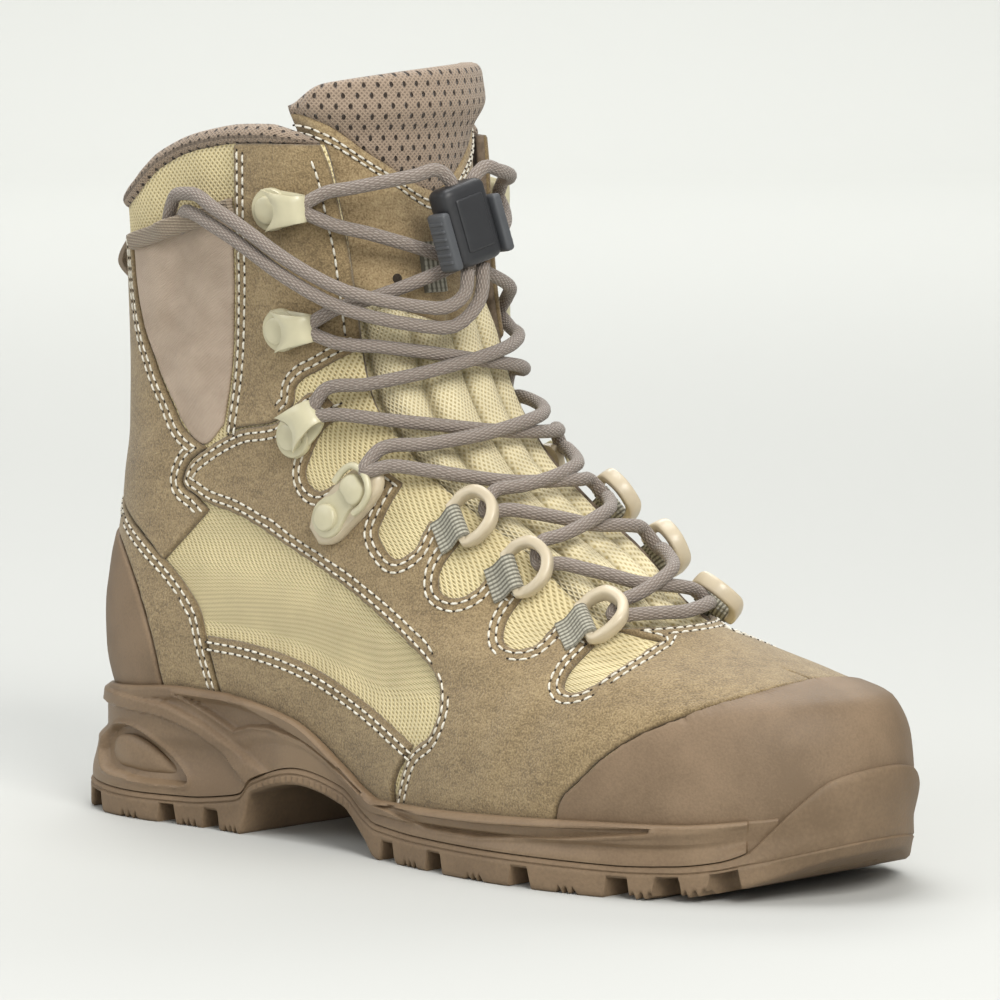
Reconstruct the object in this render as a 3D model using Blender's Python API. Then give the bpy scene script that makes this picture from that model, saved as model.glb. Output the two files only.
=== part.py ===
"""Military desert boot for the right foot, empty and stood on its sole.

Toe to +X, outer (lateral) side to -Y, floor at z = 0. Sizes are in millimetres; solid() makes metres.
"""
import math

import bmesh
import bpy
import numpy as np
from mathutils import Vector

# Main sizes
MM = 0.001
LAST_LENGTH = 294.0
BALL_WIDTH = 100.0
FEATHER_HEIGHT = 24.0
BEND_HEIGHT = 70.0
HEEL_SHARE = 16.0
WAIST_SHARE = 39.1
TOE_SWING = 9.0
SWING_START = 10.0
SWING_LENGTH = 140.0

# Thicknesses and gaps
GAP = 0.3
WALL = 2.4
PANEL = 1.2
CAP = 1.6
LIP_OVERLAP = 6.0
LIP_SLOT = 3.0
FLOOR_DROP = 1.8
RIM_WIDTH = 2.2
BUMPER_START = 3.0
BUMPER_COVER = 2.0
BUMPER_CLEAR = 2.7
WALL_LEAST = 0.8
SOLE_ROUND = 0.8
LIP_LEAST = 3.0
TOE_UNDERCUT = 2.4
TOE_START = 125.0
TOE_RUN = 15.0
INSOLE = 5.0
INSOLE_CLEAR = 2.4
TONGUE = 5.0
TONGUE_CLEAR = 1.6
LACE_RADIUS = 2.1
LACE_HEIGHT = 5.4
LACE_APART = 2.8
LACE_SIDES = 6
LACE_STEPS = 7
TAIL_STEPS = 15
CORD_RESOLUTION = 2
TUBE_GUIDE = (0.37, 0.21, 0.91)
LACE_LEAD = 5.0
LACE_ENTRY = 0.03

# Throat and collar
THROAT_LEVEL = 75.5
SHAFT_LEVEL = 130.0
TONGUE_UNDERLAP = 4.0
TONGUE_TOP = 235.0
TONGUE_BOTTOM = 70.0
TONGUE_TOP_DROP = 4.0
TONGUE_TOP_SLANT = 3.0
TONGUE_SEAM = 197.0
TONGUE_SEAM_RISE = 17.0
TONGUE_ROWS = 14
TONGUE_COLUMNS = 9
PAD_ROWS = 5
PAD_FLARE = 3.5
PAD_FLARE_START = 214.0
PAD_FLARE_RUN = 10.0
PAD_UNDERLAP = 1.7
PAD_EXTRA = 4.0
PAD_EXTRA_START = 190.0
PAD_EXTRA_RUN = 25.0

# Where the middle of the last's own table lies from the middle of the whole boot
ORIGIN = (2.7, -1.5, 0.0)

LATERAL = -1
MEDIAL = 1


def columns(names, rows):
    """A table as a dictionary of named columns."""
    values = np.array(rows, float)
    return {name: values[:, i] for i, name in enumerate(names.split())}


# Slices of the last: back, front and wide run in percent of the length from the heel,
# the half widths in percent of the ball width
LEVELS = columns(
    "height back front wide lateral medial waist_lateral waist_medial heel front_power back_power",
    [
        (24, 1.4, 99.7, 71.1, 49, 46, 38, 31, 35, 2.3, 2.6),
        (34, -0.3, 100.3, 71.1, 51, 48, 40, 34, 38, 2.4, 2.6),
        (46, -1.0, 99.9, 70.4, 50, 48, 41, 37, 39.5, 2.4, 2.6),
        (56, -1.0, 98.5, 68.4, 47, 45, 41, 39, 40, 2.4, 2.6),
        (62, -0.9, 92.6, 65.0, 44, 42, 41, 40, 40, 2.2, 2.6),
        (70, -0.5, 81.8, 54.0, 42, 40, 40.5, 40, 39.5, 2.1, 2.6),
        (78, 0.0, 75.2, 45.0, 40.5, 39.5, 40, 40, 39, 2.2, 2.6),
        (90, 1.0, 69.4, 39.8, 39.5, 40, 39, 39.5, 38, 2.3, 2.5),
        (104, 1.9, 61.2, 36.4, 38.5, 39, 38.5, 39, 37.5, 2.5, 2.5),
        (120, 2.6, 53.7, 31.3, 37.5, 38, 37.5, 38, 37, 2.8, 2.4),
        (140, 2.9, 48.5, 26.9, 37.5, 38, 37.5, 38, 37, 3.2, 2.4),
        (165, 2.9, 45.2, 24.8, 39, 39.5, 39, 39.5, 38, 3.4, 2.4),
        (195, 2.4, 43.5, 23.5, 41.5, 42, 41.5, 42, 40, 3.4, 2.3),
        (240, 1.2, 42.5, 22.5, 43.5, 43.5, 43.5, 43.5, 42, 3.4, 2.3),
    ],
)

# Sole by station along the feather line: underside, tray, rim and lip heights, then how far the
# outsole, the neck, the strap and the lip stand out from the upper
SOLE = columns(
    "x ground tray rim lip out neck strap edge",
    [
        (-143, 2.5, 9, 10.5, 37, 14.0, 11.5, 8.0, 4.5),
        (-136, 0, 8.2, 9.7, 38.5, 13.5, 11.0, 7.8, 4.5),
        (-113, 0, 7, 8.5, 41, 10.0, 7.0, 6.8, 4.5),
        (-90, 0, 7.5, 9, 43, 7.4, 4.2, 6.0, 4.5),
        (-70, 0, 10, 11.5, 43, 6.0, 4.0, 5.0, 4.7),
        (-66, 0, 11, 12.5, 42.5, 6.0, 4.0, 5.0, 4.7),
        (-61, 13, 16, 17.5, 42, 5.5, 4.0, 4.8, 4.7),
        (-40, 18, 21.5, 23, 38, 5.0, 4.5, 5.0, 4.7),
        (-20, 14, 18, 19.5, 27, 5.0, 4.5, 5.0, 4.9),
        (-8, 5, 11, 12.5, 20, 5.5, 5.0, 5.5, 4.9),
        (-2, 0, 9, 10.5, 18, 6.0, 4.6, 6.0, 5.1),
        (20, 0, 8, 9.5, 18.5, 6.2, 4.6, 6.0, 5.1),
        (50, 0, 8, 9.5, 20, 6.5, 4.6, 6.0, 5.1),
        (92, 0, 8, 9.5, 22, 6.5, 4.6, 6.0, 5.1),
        (110, 1.2, 8.6, 10.4, 22.5, 6.2, 4.6, 5.6, 5.1),
        (120, 3, 10, 12, 23.5, 6.0, 4.2, 4.6, 4.8),
        (127, 5, 12, 15, 24.5, 5.6, 3.6, 3.6, 4.3),
        (131, 6.5, 13, 20, 25, 5.2, 3.6, 3.6, 4.1),
        (136, 8.5, 14.5, 28, 26, 4.5, 3.6, 3.6, 4.1),
        (142, 11.5, 16.5, 36, 27, 4.3, 3.6, 3.6, 4.1),
        (146, 13, 18, 38.6, 28, 4.3, 3.6, 3.6, 4.1),
    ],
)

# Where the neck and the strap lie up the side of the midsole
FOOT_SHARE = 0.04
NECK_SHARE = 0.42
STRAP_SHARES = (0.58, 0.82)

# Half width of the throat by level, and the collar's height along the shaft
THROAT = columns(
    "height half",
    [(75.5, 21), (82, 22), (98, 23.5), (109, 26), (122, 28), (136, 30), (160, 29.5), (178, 30),
     (192, 31.5), (204, 33), (214, 35), (240, 37)],
)
COLLAR = columns(
    "x height",
    [(-142, 184), (-128, 186), (-116, 191), (-110, 195), (-102, 200), (-89, 205), (-77, 207.5),
     (-66, 209), (-52, 209.5), (-37, 209.5), (-20, 209.5)],
)

# Section of the collar's padded roll, (out, up) from the top edge of the upper
COLLAR_ROLL = ((-5.5, 0.3), (1.2, 0.3), (2.2, 3.5), (1.2, 7), (-1.8, 8.3), (-5, 7), (-6.5, 3.5))

# Grid of the upper wall: whole levels below the shaft, then shares of the way to the collar
LOW_LEVELS = (24, 35, 47, 57, 64, 70, 75.5, 84, 95, 111, 130)
SHAFT_SHARES = (0.3, 0.65, 1.0)
FRONT_COLUMNS = 6
SIDE_COLUMNS = 15

# Stations of the sole along the feather line
SOLE_STATIONS = (
    -142, -139, -133, -125, -113, -100, -85, -70, -66, -61, -50, -40, -30, -20, -12, -5, 3, 15, 30,
    45, 60, 75, 90, 102, 112, 121, 127, 132, 136, 140, 143, 145,
)

# Panels as outlines in the side view, (x, z)
TOE_CAP = (
    (72, 5), (72.2, 22), (75.2, 27), (81.2, 33), (87.2, 39), (98.2, 47), (112.2, 54), (122.2, 59),
    (126.2, 62.3), (129, 80), (165, 80), (165, 5),
)
EYESTAY = (
    (3, 5), (3.2, 22), (13, 35), (21, 40.5), (24, 49), (22, 55), (16, 61), (10, 64.5), (-6, 73),
    (-19, 79.5), (-42, 88.5), (-69, 98), (-87, 102), (-94.5, 106.5), (-92.5, 111), (-83, 118),
    (-70, 124), (-50, 129.3), (-46, 133), (-40, 137.5), (-35, 137), (-27, 131), (-28, 129),
    (-33, 128), (-39, 119), (-41, 113), (-38, 109), (-35, 108), (-29, 110), (-25, 112), (-20, 116),
    (-18, 119), (-5, 112), (-9, 101), (-10, 98), (-7, 93), (-2, 90), (4, 93), (7, 102), (18, 96),
    (14, 86), (15, 82), (20, 80), (26, 82), (30, 88), (41, 82), (39, 73), (41, 69), (46, 67),
    (51, 68), (53, 74), (67, 69), (67, 61), (68, 58), (72, 57), (77, 59), (80, 64), (80.5, 70),
    (85, 80), (128.4, 80), (125.7, 62.6), (121.8, 59.4), (111.8, 54.4), (97.8, 47.4), (86.8, 39.4),
    (80.8, 33.4), (74.8, 27.4), (71.7, 22), (71.5, 5),
)
BACK_QUARTER = (
    (-165, 180), (-119, 181), (-117.5, 166), (-112.5, 150), (-104.5, 136.5), (-94.5, 122.5),
    (-84.5, 117.6), (-93.2, 111.4), (-95.2, 106.3), (-88, 102), (-83, 98.5), (-96, 87),
    (-102, 81.5), (-110, 87.3), (-131, 98.6), (-165, 108.6),
)
HEEL_PANEL = (
    (-165, 108), (-131, 98), (-110, 86.7), (-92, 74.7), (-85, 67.7), (-82, 58), (-78, 43), (-77, 5),
    (-103, 5), (-104, 42), (-107, 58), (-113, 71), (-125, 84), (-134, 87.6), (-165, 92),
)
HEEL_CUP = (
    (-165, 91.4), (-134, 87), (-125.4, 83.5), (-113.5, 70.6), (-107.5, 57.9), (-104.5, 42),
    (-103.5, 5), (-165, 5),
)
SIDE_PANEL = (
    (-81.3, 60), (-63, 59.3), (-40, 56), (-13, 47), (12.3, 36), (2.6, 22.4), (2.4, 5), (-76.5, 5),
    (-77.5, 43),
)
SHAFT_PANEL = (
    (-66, 240), (-67, 195), (-69, 164), (-72, 140), (-75.5, 123), (-70, 124.7), (-50.2, 130),
    (-46.6, 133.6), (-46, 138.5), (-43, 141.5), (-38, 144), (-31, 148), (-24, 151.5), (-10, 152.5),
    (-10, 240),
)
LACE_POCKET = (
    (-118, 182), (-97, 187), (-68.6, 195.4), (-70.6, 163), (-73.6, 140), (-77, 125.2), (-86, 118.6),
    (-93.8, 123.2), (-103.8, 137.2), (-111.8, 150.2), (-117, 166),
)

# Fittings on each side: middle of the base, then the end nearer the throat, (x, z)
RINGS = (((62, 72.3), (71, 75.3)), ((37, 86.5), (47, 90.5)), ((17, 99.5), (27, 104)))
LOCK_HOOK = ((-24, 102), (-13, 112))
HOOKS = (((-42.5, 125), (-33.5, 132)), ((-47.5, 156.5), (-32.5, 158)), ((-49.5, 193), (-35.5, 194)))

# Where the lace stops short of each fitting: distance from the base, then rise of the level
LACE_STOPS = tuple(
    [(place, 17.5, 2.0) for place in RINGS]
    + [(LOCK_HOOK, 20.5, 13.5)]
    + [(HOOKS[0], 16.5, 8.0), (HOOKS[1], 16.5, 1.5), (HOOKS[2], 16.5, 1.0)]
)

# Sizes of the fittings
RING_WIRE = 1.6
RING_LIFT = 4.4
RING_SIDES = 6
RING_PATH = ((0, -7), (0, 0), (0, 7), (4.5, 8), (9, 6), (11.5, 0), (9, -6), (4.5, -8))
WEB_HALF = 5.5
WEB_SHARES = (-1.3, -0.75, -0.25)
WEB_THICK = 1.6
HOOK_PROFILE = (
    (-6.5, 0), (10.5, 0), (12, 1.2), (12.5, 3.5), (12, 5.8), (10.5, 7), (-1, 7), (-1.5, 5.8), (10, 5.6),
    (10.8, 3.5), (10, 1.4), (-6.5, 1.4),
)
HOOK_WIDE = 5.4
HOOK_NARROW = 4.0
BAND_SHIFT = 5.0
BAND_WIDE = 4.3
BAND_NARROW = 3.6
PLATE_PROFILE = ((-9, 0), (21, 0), (20, 2), (18, 2.6), (-6, 2.6), (-8, 2))
PLATE_WIDE = 6.6
PLATE_NARROW = 5.6
FITTING_LIFT = 2.4
CORD_LOCK_LEVEL = 187.0
CORD_LOCK_OUT = 14.6
CORD_LOCK_TURN = -0.03
CORD_LOCK_TILT = 14.0
CORD_LOCK_SIZE = (17, 10, 25)
LOCK_ARM_SIZE = (3.5, 8, 18)
BLOCK_CHAMFER = 0.45

# Free ends of the lace, from the cord lock to the pocket, (x, y, z)
TAILS = {
    "lace_end_upper": (
        (-2.5, -7, 175.1), (-1.5, -9, 168.5), (-4, -17.5, 164), (-20, -41, 169.5), (-44, -51, 182.5),
        (-65, -51, 192), (-78, -49, 196.5), (-87, -47, 196), (-92.5, -45, 190.8), (-95, -44, 184.5),
    ),
    "lace_end_lower": (
        (-2.5, -0.3, 176.6), (-1, -3, 166.5), (-3, -15.5, 158), (-20, -41, 164), (-44, -51, 177),
        (-65, -51, 186.5), (-76, -49.3, 190), (-82.5, -47.4, 191), (-87, -45.3, 188.6), (-89.5, -44.3, 184.5),
    ),
}

# Pull loop behind the collar, (out from the upper, z), and the eye in the heel, (along, z)
PULL_LOOP = ((2.2, 162), (9.5, 164.5), (14.5, 170), (10.5, 178), (2.8, 183))
PULL_HALF = 9.0
SHAFT_HALF_ROUND = 200.0
TAB_LEVELS = (162, 172)
TAB_TURNS = (-0.07, -0.03)
EYE = ((-19, 19), (-17, 25), (-9, 28), (0, 26.5), (10, 21), (20, 13.5), (10, 12.5), (-6, 13), (-16, 15))
EYE_STATION = -110.0
EYE_DEPTH = 2.6
LENS_SCALE = 0.72

# Notches in the edge of the outsole, along the feather line
FOREFOOT_NOTCHES = (4, 27, 62, 94, 108, 122)
HEEL_NOTCHES = (-128, -98, -79)
NOTCH_WIDTH = 7.0
NOTCH_DEPTH = 14.0
NOTCH_HEIGHT = 6.0
CROSS_GROOVES = (14, 38, 52, 76, 96)
GROOVE_HALF = 26.0
GROOVE_WIDTH = 4.9
GROOVE_HEIGHT = 5.0
GROOVE_WAY = (0.25, 1)
CUT_PAST = 3.0

# Looks by the start of the node's name: colour, roughness, metallic value
SUEDE = ((0.285, 0.2, 0.112), 0.95, 0.0)
SOLE_RUBBER = ((0.21, 0.145, 0.088), 0.55, 0.0)
COATED = ((0.2, 0.14, 0.085), 0.62, 0.0)
PADDED_MESH = ((0.23, 0.165, 0.115), 0.9, 0.0)
WEBBING = ((0.2, 0.18, 0.14), 0.8, 0.0)
ENAMEL = ((0.74, 0.7, 0.42), 0.35, 0.2)
RING_PLASTIC = ((0.68, 0.54, 0.34), 0.36, 0.0)
LOOKS = (
    ("outsole", SOLE_RUBBER), ("midsole", SOLE_RUBBER), ("heel_lens", SOLE_RUBBER),
    ("insole", ((0.1, 0.085, 0.065), 0.9, 0.0)), ("upper", ((0.72, 0.6, 0.33), 0.85, 0.0)),
    ("toe_cap", COATED), ("heel_cup", COATED), ("eyestay", SUEDE), ("back_quarter", SUEDE),
    ("heel_panel", SUEDE), ("side_panel", SUEDE), ("shaft_panel", SUEDE),
    ("lace_pocket", ((0.3, 0.22, 0.16), 0.6, 0.0)), ("collar", PADDED_MESH), ("tongue_pad", PADDED_MESH),
    ("tongue_tab", WEBBING), ("tongue", ((0.75, 0.64, 0.36), 0.9, 0.0)), ("pull_loop", WEBBING),
    ("ring_webbing", WEBBING), ("hook", ENAMEL), ("lock_band", ENAMEL), ("d_ring", RING_PLASTIC),
    ("lock_plate", RING_PLASTIC), ("lock_arm", ((0.085, 0.09, 0.098), 0.45, 0.0)),
    ("cord_lock", ((0.028, 0.029, 0.032), 0.42, 0.0)), ("lace", ((0.31, 0.26, 0.21), 0.8, 0.0)),
)

# Grid the surface is worked out on
LEVEL_STEP = 1.0
HALF_SAMPLES = 241


def smooth(x, xs, ys):
    """Monotone cubic through a short table."""
    x = np.asarray(x, float)
    step = np.diff(xs)
    slope = np.diff(ys) / step
    total = slope[:-1] + slope[1:]
    inner = 2 * slope[:-1] * slope[1:] / np.where(total == 0, 1, total)
    tangent = np.concatenate([slope[:1], np.where(slope[:-1] * slope[1:] > 0, inner, 0), slope[-1:]])
    i = np.clip(np.searchsorted(xs, x) - 1, 0, len(step) - 1)
    t = np.clip((x - xs[i]) / step[i], 0, 1)
    rise = (3 - 2 * t) * t * t
    start = t * (1 - t) ** 2 * step[i] * tangent[i]
    end = t * t * (t - 1) * step[i] * tangent[i + 1]
    return ys[i] * (1 - rise) + ys[i + 1] * rise + start + end


def ease(t):
    """Soft step from 0 to 1."""
    t = np.clip(t, 0, 1)
    return t * t * (3 - 2 * t)


def along(percent):
    """Position along the boot for a share of the last's length."""
    return (percent / 100 - 0.5) * LAST_LENGTH


def sole(name, x):
    """One column of the sole table at a station."""
    return smooth(x, SOLE["x"], SOLE[name])


def feather(x):
    """Height at which the upper meets the sole."""
    return sole("lip", x) - LIP_OVERLAP


def centre_line(x):
    """Sideways swing of the forefoot to the inner side."""
    return TOE_SWING * ease((x - SWING_START) / SWING_LENGTH)


def half_slice(height, side):
    """Outline of one level from the front to the back on one side, evenly spaced."""
    at = {name: float(smooth(height, LEVELS["height"], column)) for name, column in LEVELS.items()}
    half = BALL_WIDTH / 100
    ball = half * (at["lateral"] if side < 0 else at["medial"])
    waist = half * (at["waist_lateral"] if side < 0 else at["waist_medial"])
    heel = half * at["heel"]
    wide = along(at["wide"])
    heel_x = along(HEEL_SHARE)
    waist_x = min(along(WAIST_SHARE), wide - 1)
    turn = np.linspace(0, math.pi / 2, HALF_SAMPLES)
    front_x = wide + (along(at["front"]) - wide) * np.cos(turn) ** (2 / at["front_power"])
    front_y = ball * np.sin(turn)
    side_x = np.linspace(wide, heel_x, HALF_SAMPLES)[1:]
    to_waist = ball + (waist - ball) * ease((wide - side_x) / (wide - waist_x))
    to_heel = waist + (heel - waist) * ease((waist_x - side_x) / (waist_x - heel_x))
    side_y = np.where(side_x > waist_x, to_waist, to_heel)
    back_x = heel_x + (along(at["back"]) - heel_x) * np.sin(turn[1:]) ** (2 / at["back_power"])
    back_y = heel * np.cos(turn[1:])
    x = np.concatenate([front_x, side_x, back_x])
    y = np.concatenate([front_y, side_y, back_y]) * side + centre_line(x)
    run = np.concatenate([[0], np.cumsum(np.hypot(np.diff(x), np.diff(y)))])
    even = np.linspace(0, run[-1], HALF_SAMPLES)
    x = np.interp(even, run, x)
    y = np.interp(even, run, y)
    fade = np.clip(1 - (height - FEATHER_HEIGHT) / BEND_HEIGHT, 0, 1)
    z = height + (feather(x) - FEATHER_HEIGHT) * fade
    return np.column_stack([x, y, z])


def last_grid():
    """Points and outward normals of the last on a fine grid of level by way round."""
    heights = np.arange(LEVELS["height"][0], LEVELS["height"][-1] + LEVEL_STEP / 2, LEVEL_STEP)
    rows = []
    for height in heights:
        lateral = half_slice(height, LATERAL)[::-1]
        medial = half_slice(height, MEDIAL)[1:]
        rows.append(np.concatenate([lateral, medial]))
    points = np.array(rows)
    padded = np.concatenate([points[:, -2:-1], points, points[:, 1:2]], axis=1)
    round_way = np.gradient(padded, axis=1)[:, 1:-1]
    upward = np.gradient(points, axis=0)
    normals = np.cross(round_way, upward)
    normals /= np.linalg.norm(normals, axis=2, keepdims=True)
    return points, normals


POINTS, NORMALS = last_grid()


def cell(u, height):
    """Corner indices and weights of the fine grid cell that holds (u, height)."""
    u = (np.asarray(u, float) + 1) % 2 - 1
    a = (np.asarray(height, float) - FEATHER_HEIGHT) / LEVEL_STEP
    b = (u + 1) / 2 * (POINTS.shape[1] - 1)
    a, b = np.broadcast_arrays(a, b)
    i = np.clip(np.floor(a).astype(int), 0, POINTS.shape[0] - 2)
    j = np.clip(np.floor(b).astype(int), 0, POINTS.shape[1] - 2)
    return i, j, np.clip(a - i, 0, 1)[..., None], np.clip(b - j, 0, 1)[..., None]


def blend(grid, u, height):
    """Value of a fine grid at (u, height)."""
    i, j, s, t = cell(u, height)
    low = grid[i, j] * (1 - t) + grid[i, j + 1] * t
    high = grid[i + 1, j] * (1 - t) + grid[i + 1, j + 1] * t
    return low * (1 - s) + high * s


def on_last(u, height, out=0.0):
    """Point on the upper's outer face moved out: u is 0 in front, -1 and 1 at the back."""
    u, height, out = np.broadcast_arrays(np.asarray(u, float), height, out)
    return blend(POINTS, u, height) + blend(NORMALS, u, height) * out[..., None]


def normal(u, height):
    """Outward unit normal of the upper."""
    n = blend(NORMALS, u, height)
    return n / np.linalg.norm(n, axis=-1, keepdims=True)


def level_at(x, z):
    """Level of the last that passes through (x, z)."""
    bend = feather(x) - FEATHER_HEIGHT
    low = (z - bend * (1 + FEATHER_HEIGHT / BEND_HEIGHT)) / (1 - bend / BEND_HEIGHT)
    return np.where(low < FEATHER_HEIGHT + BEND_HEIGHT, np.maximum(low, FEATHER_HEIGHT), z)


def half_row(height, side):
    """One level from the front to the back on one side, with its u values."""
    u = np.linspace(0, side, HALF_SAMPLES)
    return u, on_last(u, height)


def u_at(x, height, side):
    """Way round the last at which one level reaches x."""
    u, row = half_row(height, side)
    return float(np.interp(x, row[::-1, 0], u[::-1]))


def locate(x, z, side):
    """(u, level) of the point seen at (x, z) from one side."""
    height = float(level_at(x, z))
    return u_at(x, height, side), height


def throat_edge(height, side):
    """Way round the last at which the throat's edge lies on one level."""
    u, row = half_row(height, side)
    across = np.abs(row[:, 1] - centre_line(row[:, 0]))
    widest = int(np.argmax(across)) + 1
    half = float(smooth(height, THROAT["height"], THROAT["half"]))
    return float(np.interp(half, across[:widest], u[:widest]))


def collar_height(u):
    """Height of the upper's top edge, round the shaft."""
    return smooth(on_last(u, COLLAR["height"].max())[..., 0], COLLAR["x"], COLLAR["height"])


# Mesh helpers
def look(name, colour, roughness, metallic):
    """A plain material for one piece."""
    material = bpy.data.materials.new(name)
    material.use_nodes = True
    shader = material.node_tree.nodes["Principled BSDF"]
    shader.inputs["Base Color"].default_value = (*colour, 1.0)
    shader.inputs["Roughness"].default_value = roughness
    shader.inputs["Metallic"].default_value = metallic
    return material


def place(name, data):
    """An object set so that the origin is under the middle of the boot."""
    for start, (colour, roughness, metallic) in LOOKS:
        if name.startswith(start):
            data.materials.append(look(name, colour, roughness, metallic))
            break
    item = bpy.data.objects.new(name, data)
    item.location = Vector(ORIGIN) * MM
    bpy.context.scene.collection.objects.link(item)
    return item


def cord(name, points, radius):
    """A round cord along points in millimetres."""
    data = bpy.data.curves.new(name, "CURVE")
    data.dimensions = "3D"
    data.bevel_depth = radius * MM
    data.bevel_resolution = CORD_RESOLUTION
    data.use_fill_caps = True
    spline = data.splines.new("POLY")
    spline.points.add(len(points) - 1)
    for target, spot in zip(spline.points, np.asarray(points) * MM):
        target.co = (*spot, 1.0)
    return place(name, data)


def solid(name, points, faces):
    """A mesh object from points in millimetres."""
    mesh = bpy.data.meshes.new(name)
    mesh.from_pydata([tuple(p) for p in np.asarray(points) * MM], [], faces)
    work = bmesh.new()
    work.from_mesh(mesh)
    bmesh.ops.recalc_face_normals(work, faces=work.faces)
    work.to_mesh(mesh)
    work.free()
    return place(name, mesh)


def cutter(name, points, faces):
    """A hidden mesh for a Boolean."""
    item = solid(name, points, faces)
    item.hide_render = True
    item.display_type = "WIRE"
    return item


def boolean(item, tool, operation):
    """Leave a Boolean with a hidden tool on an object."""
    change = item.modifiers.new(operation.lower(), "BOOLEAN")
    change.operation = operation
    change.solver = "EXACT"
    change.object = tool


def sandwich(outer, inner, faces):
    """Points and faces of a closed sheet between two matching sets of points."""
    used = sorted({i for face in faces for i in face})
    index = {old: new for new, old in enumerate(used)}
    faces = [tuple(index[i] for i in face) for face in faces]
    count = len(used)
    edges = {}
    for face in faces:
        for a, b in zip(face, face[1:] + face[:1]):
            edges[(a, b)] = True
    closed = list(faces)
    closed += [tuple(i + count for i in reversed(face)) for face in faces]
    for a, b in edges:
        if (b, a) not in edges:
            closed.append((b, a, a + count, b + count))
    points = np.concatenate([np.asarray(outer)[used], np.asarray(inner)[used]])
    return points, closed


def grid_faces(rows, count, closed=False):
    """Faces of a grid whose points run row by row."""
    faces = []
    for i in range(rows - 1):
        for j in range(count if closed else count - 1):
            k = (j + 1) % count
            faces.append((i * count + j, i * count + k, (i + 1) * count + k, (i + 1) * count + j))
    return faces


def prism(name, outline, low, high):
    """A hidden block with an (x, z) outline, between two y values."""
    turned = zip(outline, outline[1:] + outline[:1])
    area = sum(a[0] * b[1] - b[0] * a[1] for a, b in turned)
    outline = outline if area > 0 else outline[::-1]
    front = [(x, low, z) for x, z in outline]
    back = [(x, high, z) for x, z in outline]
    count = len(outline)
    faces = [tuple(range(count)), tuple(range(2 * count - 1, count - 1, -1))]
    for i in range(count):
        k = (i + 1) % count
        faces.append((k, i, count + i, count + k))
    return cutter(name, front + back, faces)


def tube(centres, radius, sides):
    """Points and faces of a capped round bar along a path."""
    centres = np.asarray(centres, float)
    tangents = np.gradient(centres, axis=0)
    points = []
    guide = Vector(TUBE_GUIDE)
    for centre, tangent in zip(centres, tangents):
        way = Vector(tangent).normalized()
        across = (guide - way * guide.dot(way)).normalized()
        guide = across
        other = way.cross(across)
        for k in range(sides):
            turn = 2 * math.pi * k / sides
            spoke = across * math.cos(turn) + other * math.sin(turn)
            points.append(centre + radius * np.array(spoke))
    faces = grid_faces(len(centres), sides, closed=True)
    faces.append(tuple(range(sides - 1, -1, -1)))
    last = (len(centres) - 1) * sides
    faces.append(tuple(range(last, last + sides)))
    return points, faces


# Upper
def wall_grid():
    """(u, level) grid of the upper and its faces, with the throat and the collar left open."""
    levels = np.array(LOW_LEVELS, float)
    count = FRONT_COLUMNS + 2 * SIDE_COLUMNS
    us, heights = [], []
    for k in range(len(levels) + len(SHAFT_SHARES)):
        share = 0.0 if k < len(levels) else SHAFT_SHARES[k - len(levels)]
        base = levels[min(k, len(levels) - 1)]
        guide = base + (COLLAR["height"].max() - SHAFT_LEVEL) * share
        left = throat_edge(guide, LATERAL)
        right = throat_edge(guide, MEDIAL)
        front = np.linspace(left, right, FRONT_COLUMNS + 1)
        medial = np.linspace(right, 1, SIDE_COLUMNS + 1)[1:]
        lateral = np.linspace(-1, left, SIDE_COLUMNS + 1)[1:-1]
        u = np.concatenate([front, medial, lateral])
        us.append(u)
        heights.append(base + (collar_height(u) - base) * share)
    faces = []
    throat_row = LOW_LEVELS.index(THROAT_LEVEL)
    for i in range(len(us) - 1):
        for j in range(count):
            if i >= throat_row and j < FRONT_COLUMNS:
                continue
            k = (j + 1) % count
            a, b, c, d = i * count + j, i * count + k, (i + 1) * count + k, (i + 1) * count + j
            faces += [(a, b, c), (a, c, d)]
    return np.concatenate(us), np.concatenate(heights), faces


WALL_U, WALL_LEVEL, WALL_FACES = wall_grid()


def shell(name, inner, outer):
    """The upper's own form as a closed sheet between two distances from its outer face."""
    points, faces = sandwich(
        on_last(WALL_U, WALL_LEVEL, outer), on_last(WALL_U, WALL_LEVEL, inner), WALL_FACES
    )
    return solid(name, points, faces)


def overlay(name, outline, thickness, side=0):
    """A panel on the upper: a sheet of the upper's form inside a side-view outline."""
    reach = 90.0
    low = 0.0 if side == MEDIAL else -reach
    high = 0.0 if side == LATERAL else reach
    item = shell(name, GAP, GAP + thickness)
    boolean(item, prism("cut_" + name, outline, low, high), "INTERSECT")
    return item


def add_upper():
    """The hollow boot body and its panels."""
    shell("upper", -WALL, 0)
    overlay("toe_cap", TOE_CAP, CAP)
    overlay("eyestay", EYESTAY, PANEL)
    overlay("back_quarter", BACK_QUARTER, PANEL)
    overlay("heel_panel", HEEL_PANEL, PANEL)
    overlay("heel_cup", HEEL_CUP, CAP)
    for side, word in ((LATERAL, "lateral"), (MEDIAL, "medial")):
        overlay("side_panel_" + word, SIDE_PANEL, PANEL, side)
        overlay("shaft_panel_" + word, SHAFT_PANEL, PANEL, side)
    overlay("lace_pocket", LACE_POCKET, PANEL, LATERAL)


def add_collar():
    """Padded roll on the upper's top edge, from facing to facing round the back."""
    top = WALL_U[-(FRONT_COLUMNS + 2 * SIDE_COLUMNS):]
    way = top[FRONT_COLUMNS + 1:]
    points = []
    for u in way:
        for out, lift in COLLAR_ROLL:
            points.append(on_last(u, collar_height(u) + lift, out))
    count = len(COLLAR_ROLL)
    faces = grid_faces(len(way), count, closed=True)
    faces.append(tuple(range(count - 1, -1, -1)))
    end = (len(way) - 1) * count
    faces.append(tuple(range(end, end + count)))
    solid("collar", points, faces)


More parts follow.
